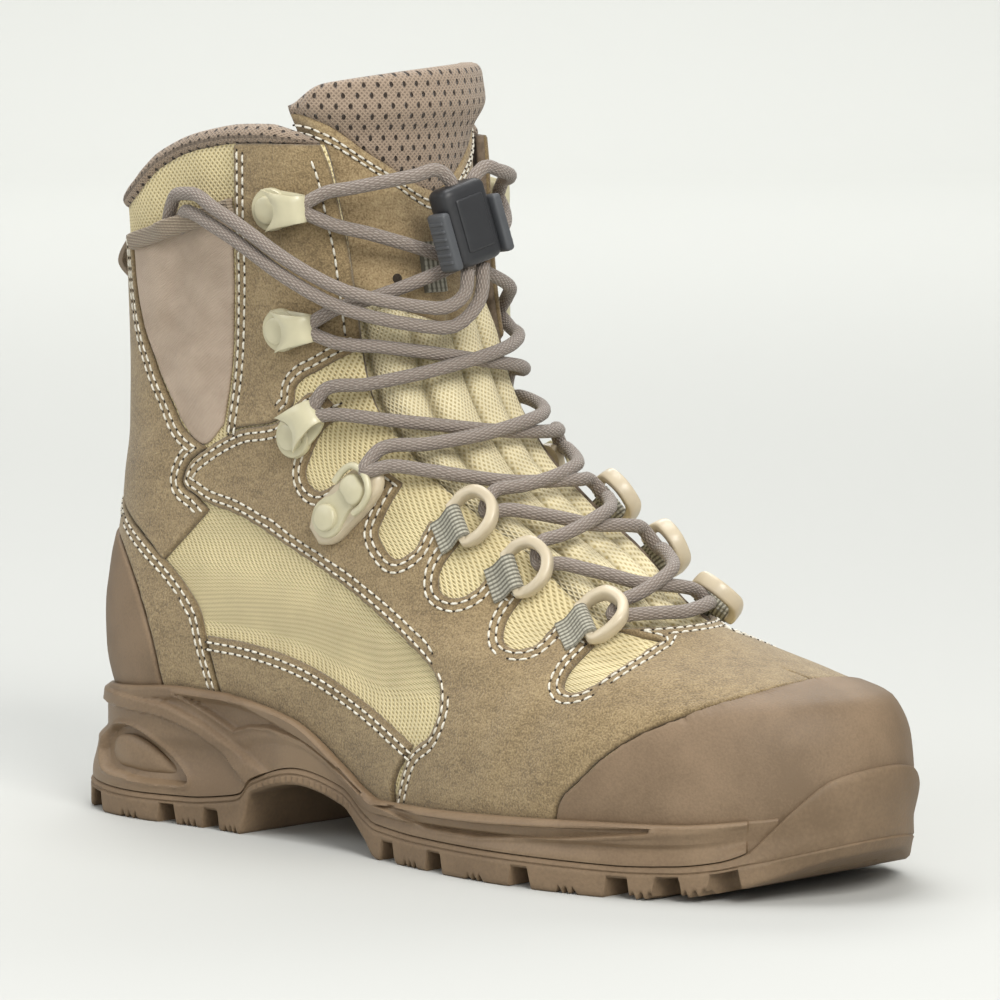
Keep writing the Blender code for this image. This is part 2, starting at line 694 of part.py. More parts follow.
def tongue_sheet(name, low, high, rows, outer, inner):
    """Part of the tongue between two height functions across it."""
    across = np.linspace(-1, 1, TONGUE_COLUMNS)
    outside, inside = [], []
    for share in np.linspace(0, 1, rows):
        for t in across:
            height = low(t) + (high(t) - low(t)) * share
            edge = throat_edge(height, LATERAL if t < 0 else MEDIAL)
            row_width = abs(on_last(edge, height)[1] - centre_line(on_last(edge, height)[0]))
            underlap = TONGUE_UNDERLAP + PAD_UNDERLAP * ease((height - PAD_EXTRA_START) / PAD_EXTRA_RUN)
            u = t * abs(edge) * (1 + underlap / row_width)
            outside.append(on_last(u, height, outer(height)))
            inside.append(on_last(u, height, inner(height)))
    points, faces = sandwich(outside, inside, grid_faces(rows, len(across)))
    solid(name, points, faces)


def add_tongue():
    """Tongue inside the throat, and the padded top sewn to it."""
    face = -(WALL + TONGUE_CLEAR)

    def bottom(t):
        return TONGUE_BOTTOM

    def seam(t):
        return TONGUE_SEAM + TONGUE_SEAM_RISE * abs(t)

    def below_seam(t):
        return seam(t) - 4 * GAP

    def top(t):
        return TONGUE_TOP - TONGUE_TOP_DROP * t * t + TONGUE_TOP_SLANT * t

    def outer(height):
        return face + PAD_FLARE * ease((height - PAD_FLARE_START) / PAD_FLARE_RUN)

    def inner(height):
        return outer(height) - TONGUE - PAD_EXTRA * ease((height - PAD_EXTRA_START) / PAD_EXTRA_RUN)

    tongue_sheet("tongue", bottom, below_seam, TONGUE_ROWS, outer, inner)
    tongue_sheet("tongue_pad", seam, top, PAD_ROWS, outer, inner)


# Sole
def sole_ring():
    """Stations round the feather line from the heel tip by the outer side: u and table position."""
    level = FEATHER_HEIGHT
    lateral = [(u_at(x, level, LATERAL), x) for x in SOLE_STATIONS]
    medial = [(u_at(x, level, MEDIAL), x) for x in reversed(SOLE_STATIONS)]
    heel = [(-1.0, SOLE["x"][0])]
    toe = [(0.0, SOLE["x"][-1])]
    return np.array(heel + lateral + toe + medial)


RING = sole_ring()
RING_U = RING[:, 0]
RING_X = RING[:, 1]


def ring_points(out, z):
    """One row round the sole, moved out from the upper and set to a height."""
    z = np.broadcast_to(np.asarray(z, float), RING_X.shape)
    out = np.broadcast_to(np.asarray(out, float), RING_X.shape)
    base = on_last(RING_U, level_at(RING_X, z))
    flat = normal(RING_U, FEATHER_HEIGHT)[:, :2]
    flat = flat / np.linalg.norm(flat, axis=1, keepdims=True)
    return np.column_stack([base[:, :2] + flat * out[:, None], z])


def ring_solid(name, rows):
    """A closed solid from rows round the sole: the first and last row are filled side to side."""
    count = len(RING_X)
    faces = grid_faces(len(rows), count, closed=True)
    half = len(SOLE_STATIONS)
    last = (len(rows) - 1) * count
    for base, order in ((0, -1), (last, 1)):
        left = [base + i for i in range(half + 2)]
        right = [base + (count - i) % count for i in range(half + 2)]
        for i in range(half + 1):
            ladder = [left[i], left[i + 1], right[i + 1], right[i]]
            ladder = list(dict.fromkeys(ladder))
            faces.append(tuple(ladder[::-order]))
    return solid(name, np.concatenate(rows), faces)


def box(centre, length_way, length, width, low, high):
    """Corners of an upright block: centre (x, y), direction and size along it, width across it."""
    way = np.array(length_way, float) / np.linalg.norm(length_way)
    across = np.array([-way[1], way[0]])
    corners = []
    for z in (low, high):
        for a, b in ((-1, -1), (1, -1), (1, 1), (-1, 1)):
            flat = np.array(centre) + way * a * length / 2 + across * b * width / 2
            corners.append((flat[0], flat[1], z))
    return corners


BOX_FACES = ((3, 2, 1, 0), (4, 5, 6, 7), (0, 1, 5, 4), (1, 2, 6, 5), (2, 3, 7, 6), (3, 0, 4, 7))


def lug_cuts():
    """Notches between the edge lugs and grooves between the middle lugs, as one hidden mesh."""
    points, faces = [], []

    def add(corners):
        start = len(points)
        points.extend(corners)
        faces.extend(tuple(start + i for i in face) for face in BOX_FACES)

    for side in (LATERAL, MEDIAL):
        for x in FOREFOOT_NOTCHES + HEEL_NOTCHES:
            u = u_at(x, FEATHER_HEIGHT, side)
            flat = normal(u, FEATHER_HEIGHT)[:2]
            flat = flat / np.linalg.norm(flat)
            edge = on_last(u, FEATHER_HEIGHT)[:2] + flat * (sole("out", x) + CUT_PAST - NOTCH_DEPTH / 2)
            ground = float(sole("ground", x))
            add(box(edge, flat, NOTCH_DEPTH, NOTCH_WIDTH, ground - CUT_PAST, ground + NOTCH_HEIGHT))
    for x in CROSS_GROOVES:
        place = (x, centre_line(x))
        add(box(place, GROOVE_WAY, GROOVE_HALF * 2, GROOVE_WIDTH, -CUT_PAST, GROOVE_HEIGHT))
    return cutter("cut_lugs", points, faces)


def add_sole():
    """Outsole with its toe bumper, midsole with its lip, and the insole."""
    ground = sole("ground", RING_X)
    tray = sole("tray", RING_X)
    rim = sole("rim", RING_X)
    lip = sole("lip", RING_X)
    out = sole("out", RING_X)
    hidden = rim > tray + BUMPER_START
    dropped = rim > lip - BUMPER_COVER
    inside = np.where(dropped, BUMPER_CLEAR, np.maximum(out - RIM_WIDTH, LIP_SLOT + GAP))
    middle = (tray + rim) / 2
    under = TOE_UNDERCUT * ease((RING_X - TOE_START) / TOE_RUN)
    rows = [
        ring_points(out - SOLE_ROUND - under, ground),
        ring_points(out - under / 2, ground + 2 * SOLE_ROUND),
        ring_points(out, tray),
        ring_points(out - GAP, middle),
        ring_points(out - 2 * GAP, rim),
        ring_points(inside, rim),
        ring_points(inside, np.where(hidden, np.minimum(lip, rim - GAP), rim - GAP)),
        ring_points(inside, np.minimum(tray + 2 * GAP, middle)),
        ring_points(inside - 2 * GAP, tray),
    ]
    outsole = ring_solid("outsole", rows)
    boolean(outsole, lug_cuts(), "DIFFERENCE")

    floor = lip - LIP_OVERLAP - FLOOR_DROP
    top = np.where(dropped, floor + 2 * GAP, lip)
    fit = inside - GAP
    slot = np.where(hidden, np.minimum(LIP_SLOT, fit - WALL_LEAST), LIP_SLOT)
    limit = np.where(hidden, fit, out)
    start = np.minimum(rim + GAP, top - LIP_LEAST)
    start = np.where(dropped, (tray + GAP + top) / 2, start)
    foot = np.minimum(limit, out - 2 * GAP)
    neck = np.minimum(limit, sole("neck", RING_X))
    strap = np.minimum(limit, sole("strap", RING_X))
    edge = np.minimum(limit, sole("edge", RING_X))
    span = top - start
    rows = [
        ring_points(fit - 2 * GAP, tray + GAP),
        ring_points(fit, start - GAP * 0.5),
        ring_points(foot, start + span * FOOT_SHARE),
        ring_points(neck, start + span * NECK_SHARE),
        ring_points(strap, start + span * STRAP_SHARES[0]),
        ring_points(strap, start + span * STRAP_SHARES[1]),
        ring_points(edge, top - GAP),
        ring_points(slot, top),
        ring_points(slot, floor),
    ]
    midsole = ring_solid("midsole", rows)

    inner = -(WALL + INSOLE_CLEAR)
    bottom = floor + FLOOR_DROP
    rows = [ring_points(inner, bottom), ring_points(inner, bottom + INSOLE)]
    ring_solid("insole", rows)
    return midsole


# Fittings
def fitting_frame(place, side, lift):
    """Start point and axes of a fitting: along it, across it, out of the upper."""
    base, tip = place
    u, height = locate(*base, side)
    start = on_last(u, height, lift)
    out = normal(u, height)
    way = on_last(*locate(*tip, side), lift) - start
    way = way - out * np.dot(way, out)
    way = way / np.linalg.norm(way)
    return start, way, np.cross(out, way), out


def fitting_step(place, side, share):
    """(u, level) of a share of the way from a fitting's base to its tip."""
    first = np.array(locate(*place[0], side))
    second = np.array(locate(*place[1], side))
    return first + (second - first) * share


def plate(name, frame, profile, wide, narrow):
    """A profile along and out of the upper, spread across with a taper towards the tip."""
    start, way, across, out = frame
    reach = [along for along, lift in profile]
    points = []
    for sign in (-1, 1):
        for along, lift in profile:
            share = (along - min(reach)) / (max(reach) - min(reach))
            half = wide + (narrow - wide) * share
            points.append(start + way * along + across * sign * half + out * lift)
    count = len(profile)
    faces = [tuple(range(count)), tuple(range(2 * count - 1, count - 1, -1))]
    for i in range(count):
        k = (i + 1) % count
        faces.append((k, i, count + i, count + k))
    return solid(name, points, faces)


def ring(name, frame):
    """A D-ring of round wire."""
    start, way, across, out = frame
    path = np.array([start + way * a + across * b for a, b in RING_PATH])
    count, sides = len(path), RING_SIDES
    points = []
    for i in range(count):
        tangent = path[(i + 1) % count] - path[i - 1]
        tangent = tangent / np.linalg.norm(tangent)
        spoke = np.cross(tangent, out)
        for k in range(sides):
            turn = 2 * math.pi * k / sides
            points.append(path[i] + RING_WIRE * (spoke * math.cos(turn) + out * math.sin(turn)))
    faces = []
    for i in range(count):
        for k in range(sides):
            j = (i + 1) % count
            m = (k + 1) % sides
            faces.append((i * sides + k, j * sides + k, j * sides + m, i * sides + m))
    solid(name, points, faces)


def webbing(name, place, side):
    """The strap that holds a D-ring, on the eyestay's finger."""
    across = fitting_frame(place, side, RING_LIFT)[2]
    low, high = [], []
    for share in WEB_SHARES:
        u, height = fitting_step(place, side, share)
        for sign in (-1, 1):
            spread = across * sign * WEB_HALF
            high.append(on_last(u, height, FITTING_LIFT + WEB_THICK) + spread)
            low.append(on_last(u, height, FITTING_LIFT) + spread)
    points, faces = sandwich(high, low, grid_faces(len(WEB_SHARES), 2))
    solid(name, points, faces)


def add_fittings():
    """Rings, hooks and lock hooks of both sides."""
    for side, word in ((LATERAL, "lateral"), (MEDIAL, "medial")):
        for i, place in enumerate(RINGS):
            ring(f"d_ring_{word}_{i + 1}", fitting_frame(place, side, RING_LIFT))
            webbing(f"ring_webbing_{word}_{i + 1}", place, side)
        for i, place in enumerate(HOOKS):
            frame = fitting_frame(place, side, FITTING_LIFT)
            plate(f"hook_{word}_{i + 1}", frame, HOOK_PROFILE, HOOK_WIDE, HOOK_NARROW)
        frame = fitting_frame(LOCK_HOOK, side, FITTING_LIFT)
        plate(f"lock_plate_{word}", frame, PLATE_PROFILE, PLATE_WIDE, PLATE_NARROW)
        top = max(lift for along, lift in PLATE_PROFILE) + GAP
        band = [(along + BAND_SHIFT, lift + top) for along, lift in HOOK_PROFILE]
        plate(f"lock_band_{word}", frame, band, BAND_WIDE, BAND_NARROW)


# Lace
def eyelets(side):
    """(u, level) just inside each ring and hook, from the toe up."""
    spots = []
    for place, reach, rise in LACE_STOPS:
        base = np.array(locate(*place[0], side))
        tip = np.array(locate(*place[1], side))
        length = np.linalg.norm(on_last(*tip) - on_last(*base))
        u = base[0] + (tip[0] - base[0]) * reach / length
        spots.append((u, base[1] + rise))
    return spots


def strand(first, second, first_lift, second_lift):
    """Centre line of a lace strand over the tongue between two eyelets."""
    path = []
    for share in np.linspace(0, 1, LACE_STEPS):
        u = first[0] + (second[0] - first[0]) * share
        low = first[1] + first_lift
        high = second[1] + second_lift
        path.append(on_last(u, low + (high - low) * share, LACE_HEIGHT))
    return path


def add_lace():
    """Bottom bar, crossings, the runs into the cord lock and the tucked ends."""
    sides = LACE_SIDES
    apart = LACE_APART
    left = eyelets(LATERAL)
    right = eyelets(MEDIAL)
    solid("lace_bar", *tube(strand(left[0], right[0], -apart, -apart), LACE_RADIUS, sides))
    for i in range(len(left) - 1):
        over = tube(strand(left[i], right[i + 1], apart, -apart), LACE_RADIUS, sides)
        under = tube(strand(right[i], left[i + 1], apart, -apart), LACE_RADIUS, sides)
        item = solid(f"lace_cross_{i + 1}", *over)
        boolean(item, cutter(f"join_lace_{i + 1}", *under), "UNION")
    top = CORD_LOCK_LEVEL + CORD_LOCK_SIZE[2] / 2 + LACE_LEAD
    for side, word, start in ((LATERAL, "lateral", left[-1]), (MEDIAL, "medial", right[-1])):
        path = []
        for share in np.linspace(0, 1, LACE_STEPS):
            u = start[0] + (CORD_LOCK_TURN + side * LACE_ENTRY - start[0]) * share
            height = start[1] + apart + (top - start[1] - apart) * share
            path.append(on_last(u, height, LACE_HEIGHT + (CORD_LOCK_OUT - LACE_HEIGHT) * ease(share)))
        solid(f"lace_top_{word}", *tube(path, LACE_RADIUS, sides))
    for name, tail in TAILS.items():
        knots = np.array(tail, float)
        where = np.arange(len(knots), dtype=float)
        fine = np.linspace(0, len(knots) - 1, TAIL_STEPS)
        path = np.column_stack([smooth(fine, where, knots[:, i]) for i in range(3)])
        cord(name, path, LACE_RADIUS)


def block(name, centre, axes, size):
    """A block with chamfered long edges about a centre, on three axes."""
    half = np.array(size, float) / 2
    cut = min(half[:2]) * BLOCK_CHAMFER
    ring_xy = []
    for a, b in ((1, -1), (1, 1), (-1, 1), (-1, -1)):
        first = (a * half[0], b * (half[1] - cut))
        second = (a * (half[0] - cut), b * half[1])
        ring_xy += [first, second] if a * b > 0 else [second, first]
    points = []
    for z in (-half[2], half[2]):
        for x, y in ring_xy:
            points.append(centre + axes[0] * x + axes[1] * y + axes[2] * z)
    count = len(ring_xy)
    faces = grid_faces(2, count, closed=True)
    faces += [tuple(range(count - 1, -1, -1)), tuple(range(count, 2 * count))]
    return solid(name, points, faces)


def add_cord_lock():
    """Cord lock in front of the tongue: body and two squeeze arms."""
    centre = on_last(CORD_LOCK_TURN, CORD_LOCK_LEVEL, CORD_LOCK_OUT)
    out = normal(CORD_LOCK_TURN, CORD_LOCK_LEVEL)
    turn = math.radians(CORD_LOCK_TILT)
    flat = np.cross(np.array([0, 0, 1.0]), out)
    flat = flat / np.linalg.norm(flat)
    up = np.cross(out, flat)
    side = flat * math.cos(turn) + up * math.sin(turn)
    top = up * math.cos(turn) - flat * math.sin(turn)
    axes = (side, out, top)
    block("cord_lock", centre, axes, CORD_LOCK_SIZE)
    shift = (CORD_LOCK_SIZE[0] + LOCK_ARM_SIZE[0]) / 2 + GAP
    for sign, word in ((-1, "lateral"), (1, "medial")):
        block(f"lock_arm_{word}", centre + side * sign * shift, axes, LOCK_ARM_SIZE)


def add_loops():
    """Pull loop at the back and the webbing tab on the tongue."""
    outer, inner = [], []
    for out, z in PULL_LOOP:
        for share in (-1, 0, 1):
            u = 1.0 + share * PULL_HALF / SHAFT_HALF_ROUND
            outer.append(on_last(u, z, out + WEB_THICK))
            inner.append(on_last(u, z, out))
    solid("pull_loop", *sandwich(outer, inner, grid_faces(len(PULL_LOOP), 3)))
    outer, inner = [], []
    face = -(WALL + TONGUE_CLEAR) + GAP
    for z in TAB_LEVELS:
        for u in TAB_TURNS:
            outer.append(on_last(u, z, face + WEB_THICK))
            inner.append(on_last(u, z, face))
    solid("tongue_tab", *sandwich(outer, inner, grid_faces(2, 2)))


def eye_points(side, scale, depth_low, depth_high):
    """Corners of the heel eye or its lens between two depths."""
    u = u_at(EYE_STATION, FEATHER_HEIGHT, side)
    out = normal(u, FEATHER_HEIGHT) * np.array([1, 1, 0])
    out = out / np.linalg.norm(out)
    way = np.cross(np.array([0, 0, 1.0]), out) * -side
    middle = np.mean(EYE, axis=0)
    base = on_last(u, FEATHER_HEIGHT) * np.array([1, 1, 0])
    points = []
    for depth in (depth_low, depth_high):
        for along, z in EYE:
            a, h = middle + (np.array((along, z)) - middle) * scale
            points.append(base + way * a + out * depth + np.array([0, 0, h]))
    return points


def add_eyes(midsole):
    """Eye-shaped recess in each side of the heel, with a lens in it."""
    count = len(EYE)
    faces = [tuple(range(count)), tuple(range(2 * count - 1, count - 1, -1))]
    faces += [((i + 1) % count, i, count + i, count + (i + 1) % count) for i in range(count)]
    floor = float(sole("neck", EYE_STATION)) - EYE_DEPTH
    for side, word in ((LATERAL, "lateral"), (MEDIAL, "medial")):
        tool = cutter("cut_eye_" + word, eye_points(side, 1.0, floor, floor + 20), faces)
        boolean(midsole, tool, "DIFFERENCE")
        solid("heel_lens_" + word, eye_points(side, LENS_SCALE, floor + GAP, floor + EYE_DEPTH), faces)


def main():
    for item in list(bpy.data.objects):
        bpy.data.objects.remove(item)
    add_eyes(add_sole())
    add_upper()
    add_collar()
    add_tongue()
    add_fittings()
    add_lace()
    add_cord_lock()
    add_loops()


main()
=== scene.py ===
import math

import bmesh
import bpy
import numpy as np
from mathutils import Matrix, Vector
from mathutils.geometry import delaunay_2d_cdt


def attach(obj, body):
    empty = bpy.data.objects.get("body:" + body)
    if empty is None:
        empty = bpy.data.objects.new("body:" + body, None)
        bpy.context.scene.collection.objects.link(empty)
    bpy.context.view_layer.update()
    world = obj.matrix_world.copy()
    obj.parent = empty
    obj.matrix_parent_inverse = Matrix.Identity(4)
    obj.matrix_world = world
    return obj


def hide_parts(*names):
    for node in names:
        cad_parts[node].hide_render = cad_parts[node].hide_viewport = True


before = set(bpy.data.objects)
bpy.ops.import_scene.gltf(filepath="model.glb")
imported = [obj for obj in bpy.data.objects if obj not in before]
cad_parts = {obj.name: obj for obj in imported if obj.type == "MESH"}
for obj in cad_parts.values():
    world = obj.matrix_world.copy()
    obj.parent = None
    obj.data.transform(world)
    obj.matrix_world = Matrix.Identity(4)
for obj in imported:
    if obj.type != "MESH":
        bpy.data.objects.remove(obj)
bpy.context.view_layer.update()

# Main sizes, as in the part's source
MM = 0.001
ORIGIN = np.array([2.7, -1.5, 0.0])
LAST_LENGTH = 294.0
BALL_WIDTH = 100.0
FEATHER_HEIGHT = 24.0
BEND_HEIGHT = 70.0
HEEL_SHARE = 16.0
WAIST_SHARE = 39.1
TOE_SWING = 9.0
SWING_START = 10.0
SWING_LENGTH = 140.0
GAP = 0.3
WALL = 2.4
PANEL = 1.2
CAP = 1.6
LIP_OVERLAP = 6.0
LIP_HUG = 1.7
RIM_WIDTH = 2.2
BUMPER_START = 3.0
BUMPER_COVER = 2.0
BUMPER_CLEAR = 2.3
LIP_LEAST = 3.0
TOE_UNDERCUT = 2.4
TOE_START = 125.0
TOE_RUN = 15.0
INSOLE = 5.0
INSOLE_CLEAR = 2.4
TONGUE = 5.0
TONGUE_CLEAR = 1.6
TONGUE_UNDERLAP = 4.0
TONGUE_TOP = 235.0
TONGUE_BOTTOM = 70.0
LACE_RADIUS = 2.1
THROAT_LEVEL = 75.5
SHAFT_LEVEL = 130.0
LATERAL = -1
MEDIAL = 1
SIDES = ((LATERAL, "lateral"), (MEDIAL, "medial"))


def columns(names, rows):
    """A table as a dictionary of named columns."""
    values = np.array(rows, float)
    return {name: values[:, i] for i, name in enumerate(names.split())}


# Slices of the last: back, front and wide run in percent of the length from the heel,
# the half widths in percent of the ball width
LEVELS = columns(
    "height back front wide lateral medial waist_lateral waist_medial heel front_power back_power",
    [
        (24, 1.4, 99.7, 71.1, 49, 46, 38, 31, 35, 2.3, 2.6),
        (34, -0.3, 100.3, 71.1, 51, 48, 40, 34, 38, 2.4, 2.6),
        (46, -1.0, 99.9, 70.4, 50, 48, 41, 37, 39.5, 2.4, 2.6),
        (56, -1.0, 98.5, 68.4, 47, 45, 41, 39, 40, 2.4, 2.6),
        (62, -0.9, 92.6, 65.0, 44, 42, 41, 40, 40, 2.2, 2.6),
        (70, -0.5, 81.8, 54.0, 42, 40, 40.5, 40, 39.5, 2.1, 2.6),
        (78, 0.0, 75.2, 45.0, 40.5, 39.5, 40, 40, 39, 2.2, 2.6),
        (90, 1.0, 69.4, 39.8, 39.5, 40, 39, 39.5, 38, 2.3, 2.5),
        (104, 1.9, 61.2, 36.4, 38.5, 39, 38.5, 39, 37.5, 2.5, 2.5),
        (120, 2.6, 53.7, 31.3, 37.5, 38, 37.5, 38, 37, 2.8, 2.4),
        (140, 2.9, 48.5, 26.9, 37.5, 38, 37.5, 38, 37, 3.2, 2.4),
        (165, 2.9, 45.2, 24.8, 39, 39.5, 39, 39.5, 38, 3.4, 2.4),
        (195, 2.4, 43.5, 23.5, 41.5, 42, 41.5, 42, 40, 3.4, 2.3),
        (240, 1.2, 42.5, 22.5, 43.5, 43.5, 43.5, 43.5, 42, 3.4, 2.3),
    ],
)

# Sole by station along the feather line: underside, tray, rim and lip heights, then how far the
# outsole, the neck, the strap and the lip stand out from the upper
SOLE = columns(
    "x ground tray rim lip out neck strap edge",
    [
        (-143, 2.5, 9, 10.5, 37, 14.0, 11.5, 8.0, 4.5),
        (-136, 0, 8.2, 9.7, 38.5, 13.5, 11.0, 7.8, 4.5),
        (-113, 0, 7, 8.5, 41, 10.0, 7.0, 6.8, 4.5),
        (-90, 0, 7.5, 9, 43, 7.4, 4.2, 6.0, 4.5),
        (-70, 0, 10, 11.5, 43, 6.0, 4.0, 5.0, 4.7),
        (-66, 0, 11, 12.5, 42.5, 6.0, 4.0, 5.0, 4.7),
        (-61, 13, 16, 17.5, 42, 5.5, 4.0, 4.8, 4.7),
        (-40, 18, 21.5, 23, 38, 5.0, 4.5, 5.0, 4.7),
        (-20, 14, 18, 19.5, 27, 5.0, 4.5, 5.0, 4.9),
        (-8, 5, 11, 12.5, 20, 5.5, 5.0, 5.5, 4.9),
        (-2, 0, 9, 10.5, 18, 6.0, 4.6, 6.0, 5.1),
        (20, 0, 8, 9.5, 18.5, 6.2, 4.6, 6.0, 5.1),
        (50, 0, 8, 9.5, 20, 6.5, 4.6, 6.0, 5.1),
        (92, 0, 8, 9.5, 22, 6.5, 4.6, 6.0, 5.1),
        (110, 1.2, 8.6, 10.4, 22.5, 6.2, 4.6, 5.6, 5.1),
        (120, 3, 10, 12, 23.5, 6.0, 4.2, 4.6, 4.8),
        (127, 5, 12, 15, 24.5, 5.6, 3.6, 3.6, 4.3),
        (131, 6.5, 13, 20, 25, 5.2, 3.6, 3.6, 4.1),
        (136, 8.5, 14.5, 28, 26, 4.5, 3.6, 3.6, 4.1),
        (142, 11.5, 16.5, 36, 27, 4.3, 3.6, 3.6, 4.1),
        (146, 13, 18, 38.6, 28, 4.3, 3.6, 3.6, 4.1),
    ],
)

# Half width of the throat by level, and the collar's height along the shaft
THROAT = columns(
    "height half",
    [(75.5, 21), (82, 22), (98, 23.5), (109, 26), (122, 28), (136, 30), (160, 29.5), (178, 30),
     (192, 31.5), (204, 33), (214, 35), (240, 37)],
)
COLLAR = columns(
    "x height",
    [(-142, 184), (-128, 186), (-116, 191), (-110, 195), (-102, 200), (-89, 205), (-77, 207.5),
     (-66, 209), (-52, 209.5), (-37, 209.5), (-20, 209.5)],
)

# Panels in the side view, (x, z), from the centre line in front or behind; a point given twice is a corner
CAP_EDGE = (
    (126.2, 62.3), (122.2, 59), (112.2, 54), (98.2, 47), (87.2, 39), (81.2, 33), (75.2, 27), (72.2, 18),
)
CAP_EDGE_LEVEL = 64.2
STRAP_LOW = (
    (3.2, 18), (13, 35), (21, 40.5), (24, 49), (22, 55), (16, 61), (10, 64.5), (-6, 73), (-19, 79.5),
    (-42, 88.5), (-69, 98), (-87, 102), (-94.5, 106.5), (-92.5, 111), (-83, 118), (-70, 124),
    (-50, 129.3), (-46, 133), (-40, 137.5), (-35, 137),
)
FINGERS = (
    (-27, 131), (-27, 131), (-33, 128), (-39, 119), (-41, 113), (-38, 109), (-35, 108), (-29, 110),
    (-25, 112), (-18, 119), (-18, 119), (-5, 112), (-5, 112), (-9, 101), (-10, 98), (-7, 93), (-2, 90),
    (4, 93), (7, 102), (7, 102), (18, 96), (18, 96), (14, 86), (15, 82), (20, 80), (26, 82), (30, 88),
    (30, 88), (41, 82), (41, 82), (39, 73), (41, 69), (46, 67), (51, 68), (53, 74), (53, 74), (67, 69),
    (67, 69), (67, 61), (68, 58), (72, 57), (77, 59), (80, 64), (80.5, 70),
)
QUARTER_FRONT = (
    (-119, 181), (-119, 181), (-117.5, 166), (-112.5, 150), (-104.5, 136.5), (-94.5, 122.5),
    (-84.5, 117.6), (-84.5, 117.6), (-93.2, 111.4), (-95.2, 106.3), (-88, 102), (-83, 98.5),
    (-83, 98.5), (-96, 87), (-102, 81.5), (-102, 81.5), (-110, 87.3), (-131, 98.6),
)
HEEL_FRONT = ((-131, 98), (-110, 86.7), (-92, 74.7), (-85, 67.7), (-82, 58), (-78, 43), (-77, 30))
CUP_FRONT = ((-134, 87.3), (-125.2, 83.8), (-113.3, 70.8), (-107.3, 58), (-104.3, 42), (-103.5, 30))
SIDE_PANEL = (
    (-81.3, 60), (-63, 59.3), (-40, 56), (-13, 47), (12.3, 36), (12.3, 36), (2.6, 22.4), (2.4, 14),
    (2.4, 14), (-76.5, 30), (-76.5, 30), (-77.5, 43), (-81.3, 60),
)
SHAFT_PANEL = (
    (-66, 220), (-67, 195), (-69, 164), (-72, 140), (-75.5, 123), (-75.5, 123), (-70, 124.7),
    (-50.2, 130), (-46.6, 133.6), (-46, 138.5), (-43, 141.5), (-38, 144), (-31, 148), (-24, 151.5),
    (-14, 152.5), (-14, 152.5), (-14, 220), (-14, 220), (-66, 220),
)
POCKET = (
    (-118, 182), (-97, 187), (-68.6, 195.4), (-68.6, 195.4), (-70.6, 163), (-73.6, 140), (-77, 125.2),
    (-77, 125.2), (-86, 118.6), (-93.8, 123.2), (-103.8, 137.2), (-111.8, 150.2), (-117, 166), (-118, 182),
)

# Fittings on each side: middle of the base, then the end nearer the throat, (x, z)
RINGS = (((62, 72.3), (71, 75.3)), ((37, 86.5), (47, 90.5)), ((17, 99.5), (27, 104)))
LOCK_HOOK = ((-24, 102), (-13, 112))
HOOKS = (((-42.5, 125), (-33.5, 132)), ((-47.5, 156.5), (-32.5, 158)), ((-49.5, 193), (-35.5, 194)))
RING_WIRE = 1.6
RING_LIFT = 4.4
WEB_HALF = 5.5
WEB_THICK = 1.6
FITTING_LIFT = 2.4
CORD_LOCK_LEVEL = 187.0
CORD_LOCK_OUT = 14.6
CORD_LOCK_TURN = -0.03
CORD_LOCK_TILT = 14.0
CORD_LOCK_SIZE = (17, 10, 25)
LOCK_ARM_SIZE = (3.5, 8, 18)

# Free ends of the lace, from the cord lock to the pocket, (x, y, z)
TAILS = {
    "lace_end_upper": (
        (-2.5, -7, 175.1), (-1.5, -9, 168.5), (-4, -17.5, 164), (-20, -41, 169.5), (-44, -51, 182.5),
        (-65, -51, 192), (-78, -49, 196.5), (-87, -47, 196), (-92.5, -45, 190.8), (-95, -44, 184.5),
    ),
    "lace_end_lower": (
        (-2.5, -0.3, 176.6), (-1, -3, 166.5), (-3, -15.5, 158), (-20, -41, 164), (-44, -51, 177),
        (-65, -51, 186.5), (-76, -49.3, 190), (-82.5, -47.4, 191), (-87, -45.3, 188.6),
        (-89.5, -44.3, 184.5),
    ),
}

# Pull loop behind the collar, (out from the upper, z), and the eye in the heel, (along, z)
PULL_LOOP = ((2.2, 162), (9.5, 164.5), (14.5, 170), (10.5, 178), (2.8, 183))
PULL_HALF = 9.0
EYE = ((-19, 19), (-17, 25), (-9, 28), (0, 26.5), (10, 21), (20, 13.5), (10, 12.5), (-6, 13), (-16, 15))
EYE_STATION = -110.0
EYE_DEPTH = 2.6
LENS_SCALE = 0.72

# Notches in the edge of the outsole, along the feather line
FOREFOOT_NOTCHES = (4, 27, 62, 94, 108, 122)
HEEL_NOTCHES = (-128, -98, -79)
NOTCH_WIDTH = 7.0
NOTCH_DEPTH = 12.0
NOTCH_HEIGHT = 6.0
CROSS_GROOVES = (14, 38, 52, 76, 96)
GROOVE_HALF = 26.0

# Lines on the side of the sole, (x, z)
WAVE_TOP = ((-150, 37), (-126, 38.5), (-103, 37.5), (-89, 34.5), (-72.5, 28), (-51, 18.5), (-40, 14))
WAVE_LOW = ((-150, 33.5), (-109, 33), (-88, 29.5), (-75, 23.5), (-63, 15.5), (-55, 10))
ARCH_PANEL = (
    (-94, 40.5), (-72, 40.5), (-61, 40), (-32, 31), (-5, 20.5), (-9, 18.5), (-26, 27), (-37, 31.5),
    (-53, 34.3), (-63, 33.5), (-70, 31.5),
)

# Camera at the photo's angle
EYE_POINT = (1.3942, -1.4381, 0.33)
AIM_POINT = (0.0049, 0.0006, 0.105)
LENS = 239.4
SENSOR = 36.0

# Grid the surface is worked out on
LEVEL_STEP = 0.5
HALF_SAMPLES = 321


